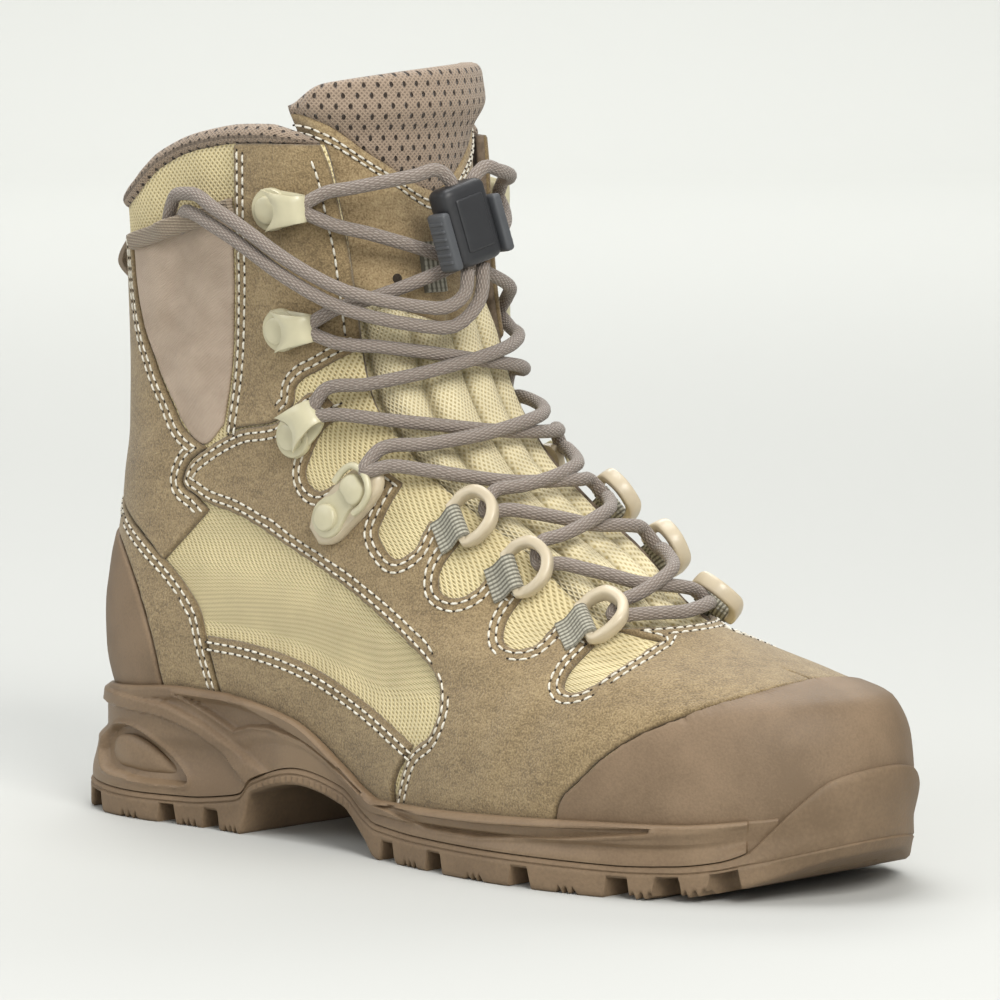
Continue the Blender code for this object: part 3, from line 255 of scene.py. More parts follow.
def smooth(x, xs, ys):
    """Monotone cubic through a short table."""
    x = np.asarray(x, float)
    step = np.diff(xs)
    slope = np.diff(ys) / step
    total = slope[:-1] + slope[1:]
    inner = 2 * slope[:-1] * slope[1:] / np.where(total == 0, 1, total)
    tangent = np.concatenate([slope[:1], np.where(slope[:-1] * slope[1:] > 0, inner, 0), slope[-1:]])
    i = np.clip(np.searchsorted(xs, x) - 1, 0, len(step) - 1)
    t = np.clip((x - xs[i]) / step[i], 0, 1)
    rise = (3 - 2 * t) * t * t
    start = t * (1 - t) ** 2 * step[i] * tangent[i]
    end = t * t * (t - 1) * step[i] * tangent[i + 1]
    return ys[i] * (1 - rise) + ys[i + 1] * rise + start + end


def line_at(x, line):
    """Height of a side-view line at x."""
    points = np.array(line, float)
    return smooth(x, points[:, 0], points[:, 1])


def ease(t):
    """Soft step from 0 to 1."""
    t = np.clip(t, 0, 1)
    return t * t * (3 - 2 * t)


def bump(x, middle, width):
    """Soft hump of height 1."""
    return np.exp(-(((x - middle) / width) ** 2))


def unit(vectors):
    """Vectors brought to length 1."""
    return vectors / np.linalg.norm(vectors, axis=-1, keepdims=True)


def run_along(points):
    """Distance along a line at each of its points."""
    return np.concatenate([[0], np.cumsum(np.linalg.norm(np.diff(points, axis=0), axis=1))])


def along(percent):
    """Position along the boot for a share of the last's length."""
    return (percent / 100 - 0.5) * LAST_LENGTH


def sole(name, x):
    """One column of the sole table at a station."""
    return smooth(x, SOLE["x"], SOLE[name])


def feather(x):
    """Height at which the upper meets the sole."""
    return sole("lip", x) - LIP_OVERLAP


def centre_line(x):
    """Sideways swing of the forefoot to the inner side."""
    return TOE_SWING * ease((x - SWING_START) / SWING_LENGTH)


def half_slice(height, side):
    """Outline of one level from the front to the back on one side, evenly spaced."""
    at = {name: float(smooth(height, LEVELS["height"], column)) for name, column in LEVELS.items()}
    half = BALL_WIDTH / 100
    ball = half * (at["lateral"] if side < 0 else at["medial"])
    waist = half * (at["waist_lateral"] if side < 0 else at["waist_medial"])
    heel = half * at["heel"]
    wide = along(at["wide"])
    heel_x = along(HEEL_SHARE)
    waist_x = min(along(WAIST_SHARE), wide - 1)
    turn = np.linspace(0, math.pi / 2, HALF_SAMPLES)
    front_x = wide + (along(at["front"]) - wide) * np.cos(turn) ** (2 / at["front_power"])
    front_y = ball * np.sin(turn)
    side_x = np.linspace(wide, heel_x, HALF_SAMPLES)[1:]
    to_waist = ball + (waist - ball) * ease((wide - side_x) / (wide - waist_x))
    to_heel = waist + (heel - waist) * ease((waist_x - side_x) / (waist_x - heel_x))
    side_y = np.where(side_x > waist_x, to_waist, to_heel)
    back_x = heel_x + (along(at["back"]) - heel_x) * np.sin(turn[1:]) ** (2 / at["back_power"])
    back_y = heel * np.cos(turn[1:])
    x = np.concatenate([front_x, side_x, back_x])
    y = np.concatenate([front_y, side_y, back_y]) * side + centre_line(x)
    run = run_along(np.column_stack([x, y]))
    even = np.linspace(0, run[-1], HALF_SAMPLES)
    x = np.interp(even, run, x)
    y = np.interp(even, run, y)
    fade = np.clip(1 - (height - FEATHER_HEIGHT) / BEND_HEIGHT, 0, 1)
    z = height + (feather(x) - FEATHER_HEIGHT) * fade
    return np.column_stack([x, y, z])


def last_grid():
    """Points and outward normals of the last on a fine grid of level by way round."""
    heights = np.arange(LEVELS["height"][0], LEVELS["height"][-1] + LEVEL_STEP / 2, LEVEL_STEP)
    rows = []
    for height in heights:
        lateral = half_slice(height, LATERAL)[::-1]
        medial = half_slice(height, MEDIAL)[1:]
        rows.append(np.concatenate([lateral, medial]))
    points = np.array(rows)
    padded = np.concatenate([points[:, -2:-1], points, points[:, 1:2]], axis=1)
    round_way = np.gradient(padded, axis=1)[:, 1:-1]
    upward = np.gradient(points, axis=0)
    return points, unit(np.cross(round_way, upward))


POINTS, NORMALS = last_grid()


def cell(u, height):
    """Corner indices and weights of the fine grid cell that holds (u, height)."""
    u = (np.asarray(u, float) + 1) % 2 - 1
    a = (np.asarray(height, float) - FEATHER_HEIGHT) / LEVEL_STEP
    b = (u + 1) / 2 * (POINTS.shape[1] - 1)
    a, b = np.broadcast_arrays(a, b)
    i = np.clip(np.floor(a).astype(int), 0, POINTS.shape[0] - 2)
    j = np.clip(np.floor(b).astype(int), 0, POINTS.shape[1] - 2)
    return i, j, np.clip(a - i, 0, 1)[..., None], np.clip(b - j, 0, 1)[..., None]


def blend(grid, u, height):
    """Value of a fine grid at (u, height)."""
    i, j, s, t = cell(u, height)
    low = grid[i, j] * (1 - t) + grid[i, j + 1] * t
    high = grid[i + 1, j] * (1 - t) + grid[i + 1, j + 1] * t
    return low * (1 - s) + high * s


def on_last(u, height, out=0.0):
    """Point on the upper's outer face moved out: u is 0 in front, -1 and 1 at the back."""
    u, height, out = np.broadcast_arrays(np.asarray(u, float), height, out)
    return blend(POINTS, u, height) + blend(NORMALS, u, height) * out[..., None]


def normal(u, height):
    """Outward unit normal of the upper."""
    return unit(blend(NORMALS, u, height))


def level_at(x, z):
    """Level of the last that passes through (x, z)."""
    bend = feather(x) - FEATHER_HEIGHT
    low = (z - bend * (1 + FEATHER_HEIGHT / BEND_HEIGHT)) / (1 - bend / BEND_HEIGHT)
    return np.where(low < FEATHER_HEIGHT + BEND_HEIGHT, np.maximum(low, FEATHER_HEIGHT), z)


def half_row(height, side):
    """One level from the front to the back on one side, with its u values."""
    u = np.linspace(0, side, HALF_SAMPLES)
    return u, on_last(u, height)


def u_at(x, height, side):
    """Way round the last at which one level reaches x."""
    u, row = half_row(height, side)
    return np.interp(x, row[::-1, 0], u[::-1])


def locate(x, z, side):
    """(u, level) of the point seen at (x, z) from one side."""
    height = float(level_at(x, z))
    return float(u_at(x, height, side)), height


def throat_edge(height, side):
    """Way round the last at which the throat's edge lies on one level."""
    u, row = half_row(height, side)
    across = np.abs(row[:, 1] - centre_line(row[:, 0]))
    widest = int(np.argmax(across)) + 1
    half = float(smooth(height, THROAT["height"], THROAT["half"]))
    return float(np.interp(half, across[:widest], u[:widest]))


EDGE_LEVELS = np.arange(60.0, 241.0)
EDGES = {side: np.array([throat_edge(h, side) for h in EDGE_LEVELS]) for side in (LATERAL, MEDIAL)}


def edge_at(height, side):
    """throat_edge for many levels at once."""
    return np.interp(height, EDGE_LEVELS, EDGES[side])


# How far the wall reaches above the part's own edge, behind the collar's roll
COLLAR_RISE = 3.0


def collar_height(u):
    """Height of the upper's top edge, round the shaft."""
    x = on_last(u, COLLAR["height"].max())[..., 0]
    return COLLAR_RISE + smooth(x, COLLAR["x"], COLLAR["height"])


# Soft troughs and ridges of the upper: middle (x, z), half length along the fold,
# half width across it, rise, and the fold's slope in degrees from the boot's length
FOLDS = (
    (62, 44, 26, 5, -0.7, 62), (74, 40, 24, 5, 0.5, 60), (46, 47, 20, 5, -0.5, 66),
    (-58, 112, 24, 5, -0.5, 14), (-104, 128, 18, 6, -0.7, 20), (-110, 112, 20, 6, 0.5, 16),
    (-96, 168, 16, 6, -0.6, 70), (-90, 150, 18, 6, 0.6, 60), (-102, 150, 12, 5, -0.6, 40),
    (-58, 174, 20, 7, -0.5, 80),
)


def relief(points):
    """Rise of the soft folds at points on the upper."""
    total = np.zeros(points.shape[:-1])
    for x, z, long, wide, rise, slope in FOLDS:
        turn = math.radians(slope)
        dx = points[..., 0] - x
        dz = points[..., 2] - z
        lengthwise = dx * math.cos(turn) + dz * math.sin(turn)
        across = dz * math.cos(turn) - dx * math.sin(turn)
        total = total + rise * bump(lengthwise, 0, long) * bump(across, 0, wide)
    return total


def skin(u, height, out=0.0):
    """Point on the dressed upper: the last with its soft folds, moved out."""
    return on_last(u, height, np.asarray(out) + relief(on_last(u, height)))


# Mesh helpers
SMALL_TURN = 0.002
SMALL_RISE = 0.6
BATCH = 2000
FAR = 1e9


def link(item):
    """An object put into the scene."""
    bpy.context.scene.collection.objects.link(item)
    return item


def clean(mesh, weld=0.0):
    """Faces turned outward, after points closer than the weld are joined."""
    work = bmesh.new()
    work.from_mesh(mesh)
    if weld:
        bmesh.ops.remove_doubles(work, verts=work.verts, dist=weld)
    bmesh.ops.recalc_face_normals(work, faces=work.faces)
    work.to_mesh(mesh)
    work.free()


def piece(name, points, faces, material, slot, nodes=(), uv=None, marks=None, sharp=None, index=None):
    """A mesh from points in millimetres that rides on the boot and stands for its solids."""
    name = name + "_look"
    mesh = bpy.data.meshes.new(name)
    mesh.from_pydata(((np.asarray(points, float) + ORIGIN) * MM).tolist(), [], faces)
    materials = material if isinstance(material, (list, tuple)) else [material]
    for item in materials:
        mesh.materials.append(item)
    if index is not None:
        mesh.polygons.foreach_set("material_index", np.asarray(index, np.int32))
    if uv is not None:
        layer = mesh.uv_layers.new(name="weave")
        corner = np.zeros(len(mesh.loops), np.int32)
        mesh.loops.foreach_get("vertex_index", corner)
        layer.data.foreach_set("uv", (np.asarray(uv, np.float32)[corner] * MM).ravel())
    for key, values in (marks or {}).items():
        field = mesh.attributes.new(key, "FLOAT", "POINT")
        field.data.foreach_set("value", np.asarray(values, np.float32))
    clean(mesh)
    mesh.polygons.foreach_set("use_smooth", np.ones(len(mesh.polygons), bool))
    if sharp is not None:
        mesh.set_sharp_from_angle(angle=math.radians(sharp))
    item = link(bpy.data.objects.new(name, mesh))
    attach(item, "root")
    if nodes:
        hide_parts(*nodes)
    return item


def grid_faces(rows, count, closed=False, start=0):
    """Faces of a grid whose points run row by row."""
    i = np.arange(rows - 1)[:, None]
    j = np.arange(count if closed else count - 1)[None, :]
    k = (j + 1) % count
    faces = np.stack([i * count + j, i * count + k, (i + 1) * count + k, (i + 1) * count + j], axis=-1)
    return (faces.reshape(-1, 4) + start).tolist()


def tube_faces(rows, count):
    """Faces of a closed tube of rings with both ends capped."""
    last = (rows - 1) * count
    caps = [list(range(count - 1, -1, -1)), list(range(last, last + count))]
    return grid_faces(rows, count, closed=True) + caps


def sandwich(outer, inner, faces):
    """Points and faces of a closed sheet between two matching sets of points."""
    count = len(outer)
    edges = set()
    for face in faces:
        edges.update(zip(face, list(face[1:]) + [face[0]]))
    closed = [tuple(face) for face in faces]
    closed += [tuple(i + count for i in reversed(face)) for face in faces]
    for a, b in edges:
        if (b, a) not in edges:
            closed.append((b, a, a + count, b + count))
    return np.concatenate([outer, inner]), closed


def sheet(name, outer, inner, faces, material, slot, nodes, uv, marks=None, sharp=None):
    """A piece that is a closed sheet between two matching sets of points."""
    points, closed = sandwich(outer, inner, faces)
    marks = {key: np.tile(values, 2) for key, values in (marks or {}).items()}
    return piece(name, points, closed, material, slot, nodes, np.tile(uv, (2, 1)), marks, sharp)


def soft_line(points, step=1.0):
    """A rounded line through points, where a point given twice is a corner."""
    points = [np.array(p, float) for p in points]
    runs = [[points[0]]]
    for a, b in zip(points, points[1:]):
        if np.allclose(a, b):
            runs.append([b])
        else:
            runs[-1].append(b)
    line = [points[0]]
    for run in runs:
        if len(run) < 2:
            continue
        ghost = [2 * run[0] - run[1]] + run + [2 * run[-1] - run[-2]]
        for p0, p1, p2, p3 in zip(ghost, ghost[1:], ghost[2:], ghost[3:]):
            a, b, c = (np.linalg.norm(q - p) for p, q in ((p0, p1), (p1, p2), (p2, p3)))
            m1 = ((p1 - p0) / a * b + (p2 - p1) / b * a) / (a + b) * b
            m2 = ((p2 - p1) / b * c + (p3 - p2) / c * b) / (b + c) * b
            count = max(2, int(b / step) + 1)
            t = np.linspace(0, 1, count + 1)[1:, None]
            line += list(
                p1 * (2 * t**3 - 3 * t**2 + 1) + m1 * (t**3 - 2 * t**2 + t)
                + p2 * (3 * t**2 - 2 * t**3) + m2 * (t**3 - t**2)
            )
    return np.array(line)


def spread(line, spacing, closed=False):
    """(u, level) points of a line set evenly along the upper."""
    line = np.asarray(line, float)
    if closed:
        line = np.concatenate([line, line[:1]])
    run = run_along(on_last(*line.T))
    count = max(3, int(round(run[-1] / spacing)))
    even = np.linspace(0, run[-1], count + 1)
    if closed:
        even = even[:-1]
    return np.column_stack([np.interp(even, run, line[:, i]) for i in (0, 1)])


def slide(line, way, rise=SMALL_RISE):
    """(u, level) points moved over the upper by small steps in space."""
    u, height = line[:, 0], line[:, 1]
    low = np.maximum(height - rise, FEATHER_HEIGHT)
    high = height + rise
    along_u = (on_last(u + SMALL_TURN, height) - on_last(u - SMALL_TURN, height)) / (2 * SMALL_TURN)
    along_h = (on_last(u, high) - on_last(u, low)) / (high - low)[:, None]
    a = (along_u * along_u).sum(1)
    b = (along_u * along_h).sum(1)
    c = (along_h * along_h).sum(1)
    p = (along_u * way).sum(1)
    q = (along_h * way).sum(1)
    det = a * c - b * b
    return line + np.column_stack([(c * p - b * q) / det, (a * q - b * p) / det])


def inward(line, closed=True):
    """Unit steps in space from a loop towards its inside, for a loop that runs anticlockwise."""
    points = on_last(*line.T)
    if closed:
        tangent = np.roll(points, -1, axis=0) - np.roll(points, 1, axis=0)
    else:
        tangent = np.gradient(points, axis=0)
    way = np.cross(normal(*line.T), tangent)
    return way / np.maximum(np.linalg.norm(way, axis=1, keepdims=True), 1e-9)


def loop_area(loop):
    """Signed area of a loop in (u, level)."""
    after = np.roll(loop, -1, axis=0)
    return float((loop[:, 0] * after[:, 1] - after[:, 0] * loop[:, 1]).sum()) / 2


def nearest(points, targets):
    """Distance from each point to the nearest target."""
    best = np.full(len(points), FAR)
    for start in range(0, len(points), BATCH):
        part = points[start:start + BATCH]
        gaps = ((part[:, None, :] - targets[None, :, :]) ** 2).sum(2)
        best[start:start + BATCH] = np.sqrt(gaps.min(1))
    return best


def inside(points, loop):
    """Which points lie inside a loop, by counting crossings."""
    x, y = points[:, 0], points[:, 1]
    hit = np.zeros(len(points), bool)
    for (ax, ay), (bx, by) in zip(loop, np.roll(loop, -1, axis=0)):
        if ay == by:
            continue
        crosses = (ay > y) != (by > y)
        hit ^= crosses & (x < ax + (y - ay) / (by - ay) * (bx - ax))
    return hit


# Materials
def dim(colour, share):
    """A colour made darker."""
    return tuple(share * c for c in colour)


class Paint:
    """A procedural material in the making."""

    def __init__(self, name, roughness, **sockets):
        self.material = bpy.data.materials.new(name)
        self.material.use_nodes = True
        self.nodes = self.material.node_tree.nodes
        self.links = self.material.node_tree.links
        self.shader = self.nodes["Principled BSDF"]
        self.shader.inputs["Roughness"].default_value = roughness
        for key, value in sockets.items():
            self.shader.inputs[key.replace("_", " ")].default_value = value
        self.bumps = None

    def node(self, kind, inputs=None, **settings):
        """A shader node with its inputs set or linked."""
        item = self.nodes.new("ShaderNode" + kind)
        for key, value in settings.items():
            setattr(item, key, value)
        for key, value in (inputs or {}).items():
            if isinstance(value, bpy.types.NodeSocket):
                self.links.new(value, item.inputs[key])
            else:
                item.inputs[key].default_value = value
        return item

    def place(self, kind="Object", turn=0.0, stretch=(1, 1, 1)):
        """Coordinates on the piece, scaled and then turned about Z by degrees."""
        start = self.node("TexCoord").outputs[kind]
        settings = {"Vector": start, "Rotation": (0, 0, math.radians(turn)), "Scale": stretch}
        return self.node("Mapping", settings).outputs["Vector"]

    def noise(self, size, detail=3.0, stretch=(1, 1, 1)):
        """Noise with spots of about that many millimetres."""
        settings = {"Vector": self.place(stretch=stretch), "Scale": 1 / (size * MM), "Detail": detail}
        return self.node("TexNoise", settings).outputs["Fac"]

    def wave(self, period, turn=0.0, way="X"):
        """Bands with a period in millimetres, along one way of the turned coordinates."""
        settings = {"Vector": self.place("UV", turn), "Scale": math.pi / 10 / (period * MM)}
        return self.node("TexWave", settings, bands_direction=way).outputs["Fac"]

    def dots(self, pitch, tall):
        """Distance from a staggered lattice of points, with its two pitches in millimetres."""
        scale = math.sqrt(2) / MM
        vector = self.place("UV", 45.0, (scale / pitch, scale / tall, 1))
        settings = {"Vector": vector, "Scale": 1.0, "Randomness": 0.0}
        return self.node("TexVoronoi", settings, voronoi_dimensions="2D").outputs["Distance"]

    def mark(self, name):
        """A value kept on the mesh's points."""
        return self.node("Attribute", attribute_name=name).outputs["Fac"]

    def math(self, operation, a, b):
        """Two values joined by a sum, a product or the like."""
        return self.node("Math", {0: a, 1: b}, operation=operation).outputs[0]

    def weigh(self, *parts):
        """Weighted sum of (value, weight) pairs."""
        total = 0.0
        for value, weight in parts:
            total = self.math("ADD", self.math("MULTIPLY", value, weight), total)
        return total

    def span(self, value, low, high, first=0.0, last=1.0):
        """A value brought from one range to another, held at the ends."""
        settings = {"Value": value, "From Min": low, "From Max": high, "To Min": first, "To Max": last}
        return self.node("MapRange", settings).outputs[0]

    def ramp(self, value, stops):
        """Colours along a value."""
        item = self.node("ValToRGB", {"Fac": value})
        points = item.color_ramp.elements
        for place, _ in stops[2:]:
            points.new(place)
        for point, (place, colour) in zip(points, sorted(stops)):
            point.position = place
            point.color = (*colour, 1)
        return item.outputs["Color"]

    def mix(self, share, a, b):
        """Two colours mixed."""
        item = self.node("Mix", data_type="RGBA", blend_type="MIX")
        for socket, value in zip((item.inputs[0], item.inputs[6], item.inputs[7]), (share, a, b)):
            if isinstance(value, bpy.types.NodeSocket):
                self.links.new(value, socket)
            elif isinstance(value, tuple):
                socket.default_value = (*value, 1)
            else:
                socket.default_value = value
        return item.outputs[2]

    def colour(self, socket):
        """Surface colour."""
        self.links.new(socket, self.shader.inputs["Base Color"])

    def rough(self, socket):
        """Surface roughness."""
        self.links.new(socket, self.shader.inputs["Roughness"])

    def raise_by(self, height, depth, strength=1.0):
        """Bump of a depth in millimetres, on top of the bumps so far."""
        settings = {"Height": height, "Distance": depth * MM, "Strength": strength}
        if self.bumps:
            settings["Normal"] = self.bumps
        self.bumps = self.node("Bump", settings).outputs["Normal"]
        for old in list(self.shader.inputs["Normal"].links):
            self.links.remove(old)
        self.links.new(self.bumps, self.shader.inputs["Normal"])


def suede(name, dark, middle, light):
    """Rough suede: mottled nap with a fine grain, darker at its cut edges."""
    paint = Paint(name, 0.95, Sheen_Weight=0.25, Sheen_Roughness=0.6, Specular_IOR_Level=0.2)
    nap = paint.noise(0.6, 4.0)
    patch = paint.noise(16, 4.0, (1, 1, 1.6))
    brushed = paint.noise(3.5, 4.0, (1, 1, 2.4))
    mixed = paint.weigh((nap, 0.6), (patch, 0.2), (brushed, 0.2))
    base = paint.ramp(mixed, [(0.36, dark), (0.64, light), (0.5, middle)])
    edge = paint.span(paint.mark("edge"), 0.0, 1.1, 0.55, 0.0)
    paint.colour(paint.mix(edge, base, dim(dark, 0.62)))
    paint.raise_by(nap, 0.55, 0.75)
    paint.raise_by(brushed, 0.5, 0.35)
    return paint.material


def textile(name, light, dark, period, turn):
    """Coarse woven cloth with small dark gaps between its threads, and painted shade in the valleys of folds
    where the mesh marks them.
    """
    paint = Paint(name, 0.8, Sheen_Weight=0.15, Specular_IOR_Level=0.25)
    warp = paint.wave(period, turn, "X")
    weft = paint.wave(period, turn, "Y")
    threads = paint.math("MAXIMUM", warp, weft)
    gap = paint.span(threads, 0.1, 0.75)
    tone = paint.noise(18, 3.0)
    cloth = paint.mix(paint.span(tone, 0.35, 0.65), light, dim(light, 0.86))
    woven = paint.mix(gap, dark, cloth)
    # Painted shade: darker colour in the fold valleys that the mesh marks, where shade falls between the
    # folds.
    paint.colour(paint.mix(paint.mark("fold_shade"), woven, dim(dark, 0.4)))
    paint.raise_by(threads, 0.5, 0.8)
    return paint.material


def holed_mesh(name, light, dark, pitch, tall, size):
    """Spacer mesh: knitted cloth with staggered rows of holes."""
    paint = Paint(name, 0.85, Sheen_Weight=0.2, Specular_IOR_Level=0.2)
    hole = paint.span(paint.dots(pitch, tall), size, size * 1.5)
    knit = paint.math("MAXIMUM", paint.wave(1.1, 45, "X"), paint.wave(1.1, 45, "Y"))
    tone = paint.mix(paint.span(knit, 0.2, 0.8), dim(light, 0.62), light)
    paint.colour(paint.mix(hole, dark, tone))
    paint.raise_by(knit, 0.45, 0.7)
    paint.raise_by(hole, 1.2, 0.9)
    return paint.material


def grained(name, dark, light, roughness, grain, depth, coat=0.0):
    """Moulded rubber or coated leather with a fine grain and slow changes of tone."""
    paint = Paint(name, roughness, Coat_Weight=coat, Coat_Roughness=0.45, Specular_IOR_Level=0.4)
    tone = paint.noise(26, 4.0)
    fine = paint.noise(grain, 4.0)
    mixed = paint.weigh((tone, 0.65), (fine, 0.35))
    paint.colour(paint.ramp(mixed, [(0.38, dark), (0.62, light)]))
    paint.rough(paint.span(fine, 0.3, 0.7, roughness - 0.07, roughness + 0.1))
    paint.raise_by(fine, depth, 0.7)
    return paint.material


def hard(name, colour, roughness, coat=0.0):
    """Plastic or enamel with faint unevenness."""
    paint = Paint(name, roughness, Coat_Weight=coat, Coat_Roughness=0.2)
    tone = paint.noise(9, 3.0)
    paint.colour(paint.mix(paint.span(tone, 0.3, 0.7), colour, dim(colour, 0.86)))
    paint.rough(paint.span(paint.noise(1.2, 3.0), 0.3, 0.7, roughness - 0.06, roughness + 0.08))
    paint.raise_by(tone, 0.12, 0.4)
    return paint.material


def ribbed(name, light, dark, period):
    """Webbing or elastic with fine ribs and a cross weave."""
    paint = Paint(name, 0.8, Sheen_Weight=0.15, Specular_IOR_Level=0.25)
    rib = paint.wave(period)
    cross = paint.wave(period * 1.3, way="Y")
    both = paint.math("MULTIPLY", rib, paint.span(cross, 0.0, 0.6, 0.55, 1.0))
    paint.colour(paint.ramp(both, [(0.1, dark), (0.7, light)]))
    paint.raise_by(both, 0.4, 0.8)
    return paint.material


def braid(name, light, dark):
    """Round braided lace."""
    paint = Paint(name, 0.8, Sheen_Weight=0.2, Specular_IOR_Level=0.25)
    left = paint.wave(1.7, 35, "X")
    right = paint.wave(1.7, -35, "X")
    strands = paint.math("MULTIPLY", left, right)
    tone = paint.noise(2.0, 3.0)
    base = paint.ramp(strands, [(0.02, dark), (0.45, light)])
    paint.colour(paint.mix(paint.span(tone, 0.3, 0.7, 0.0, 0.25), base, dark))
    paint.raise_by(strands, 0.5, 0.9)
    return paint.material


def stretch_cloth(name, light, dark):
    """Thin stretch cloth with a fine twill and soft cloudy folds, painted darker in their hollows as shade.
    """
    paint = Paint(name, 0.6, Sheen_Weight=0.1, Specular_IOR_Level=0.35)
    cloud = paint.noise(14, 3.0, (1, 1, 1.4))
    twill = paint.wave(0.7, 60, "X")
    # Painted shade: the colour follows the same noise as the folds' bump, darker in their hollows.
    paint.colour(paint.ramp(cloud, [(0.35, dark), (0.62, light)]))
    paint.raise_by(twill, 0.15, 0.6)
    paint.raise_by(cloud, 2.2, 0.55)
    return paint.material


def plain_cloth(name, light, dark, size):
    """Lining, thread and insole cloth, and the dark paint for the shade in holes."""
    paint = Paint(name, 0.85, Sheen_Weight=0.15, Specular_IOR_Level=0.25)
    spots = paint.noise(size, 4.0)
    paint.colour(paint.ramp(spots, [(0.35, dark), (0.65, light)]))
    paint.raise_by(spots, 0.4, 0.6)
    return paint.material


SUEDE = suede("suede_tan", (0.15, 0.104, 0.051), (0.275, 0.198, 0.1), (0.4, 0.3, 0.16))
# Painted light: a lighter copy of the tan suede for the tongue's face, to make up for the shade it lies in
# under the collar, facing and lace.
LIT_TONGUE_SUEDE = suede("suede_tongue_painted_light", (0.2, 0.14, 0.07), (0.35, 0.255, 0.135), (0.48, 0.37, 0.21))
TEXTILE = textile("woven_sand", (0.84, 0.72, 0.42), (0.42, 0.32, 0.13), 1.4, 40)
# Painted light: the knit's colour is raised to make up for the shade it lies in, in the throat under the
# laces and collar.
LIT_KNIT = textile("knit_sand_painted_light", (0.9, 0.8, 0.53), (0.56, 0.45, 0.22), 1.2, 30)
MESH = holed_mesh("mesh_taupe", (0.36, 0.275, 0.205), (0.04, 0.028, 0.02), 4.4, 6.4, 0.14)
CAP_COAT = grained("coated_leather", (0.165, 0.112, 0.066), (0.245, 0.17, 0.105), 0.62, 0.7, 0.16, 0.05)
RUBBER = grained("sole_rubber", (0.18, 0.12, 0.07), (0.245, 0.17, 0.102), 0.5, 0.9, 0.1, 0.08)
TREAD = grained("tread_rubber", (0.165, 0.112, 0.066), (0.235, 0.162, 0.098), 0.62, 1.1, 0.22)
ENAMEL = hard("cream_enamel", (0.62, 0.575, 0.39), 0.34, 0.3)
RING = hard("ring_plastic", (0.62, 0.53, 0.38), 0.36, 0.2)
LOCK = hard("lock_dark", (0.028, 0.029, 0.032), 0.42)
ARM = hard("lock_grey", (0.085, 0.09, 0.098), 0.45)
WEB = ribbed("webbing_grey", (0.46, 0.44, 0.36), (0.15, 0.142, 0.11), 1.3)
HEM = ribbed("hem_taupe", (0.37, 0.3, 0.225), (0.24, 0.19, 0.14), 0.9)
BRAID = braid("lace_braid", (0.44, 0.375, 0.325), (0.21, 0.172, 0.145))
STRETCH = stretch_cloth("stretch_taupe", (0.46, 0.36, 0.275), (0.38, 0.29, 0.215))
THREAD = plain_cloth("thread_white", (0.86, 0.83, 0.74), (0.62, 0.58, 0.48), 1.0)
# Near-black cloth that paints the shade in needle holes and punched holes.
HOLE_SHADE = plain_cloth("painted_hole_shade", (0.05, 0.037, 0.025), (0.025, 0.018, 0.012), 1.0)
LINING = plain_cloth("lining_taupe", (0.2, 0.15, 0.105), (0.12, 0.09, 0.062), 1.6)
FOOTBED = plain_cloth("footbed_cloth", (0.13, 0.11, 0.085), (0.075, 0.062, 0.048), 1.2)


# Upper
def row_lengths():
    """Length of each fine level from the front to the back."""
    steps = np.linalg.norm(np.diff(POINTS, axis=1), axis=2).sum(1) / 2
    return FEATHER_HEIGHT + LEVEL_STEP * np.arange(len(steps)), steps


ROW_LEVELS, ROW_LENGTHS = row_lengths()


def half_length(height):
    """Length of half a level, from the front to the back."""
    return np.interp(height, ROW_LEVELS, ROW_LENGTHS)


def cloth_uv(u, height):
    """Flat coordinates for a weave, in millimetres."""
    return np.column_stack([u * half_length(height), height])


# Rows of the wall below the throat, beside it and up the shaft, and columns over the instep and each side
LOW_BREAK = 60.0
LOW_ROWS = 17
VAMP_ROWS = 16
THROAT_ROWS = 28
SHAFT_ROWS = 35
FRONT_COLUMNS = 30
SIDE_COLUMNS = 72


def wall_rows():
    """Base level of each row, its share of the way up to the collar, and the row where the throat starts."""
    foot = np.linspace(FEATHER_HEIGHT, LOW_BREAK, LOW_ROWS)
    vamp = np.linspace(LOW_BREAK, THROAT_LEVEL, VAMP_ROWS)[1:]
    throat = np.linspace(THROAT_LEVEL, SHAFT_LEVEL, THROAT_ROWS)[1:]
    bases = np.concatenate([foot, vamp, throat, np.full(SHAFT_ROWS - 1, SHAFT_LEVEL)])
    shares = np.zeros(len(bases))
    shares[1 - SHAFT_ROWS:] = np.linspace(0, 1, SHAFT_ROWS)[1:]
    return bases, shares, len(foot) + len(vamp) - 1


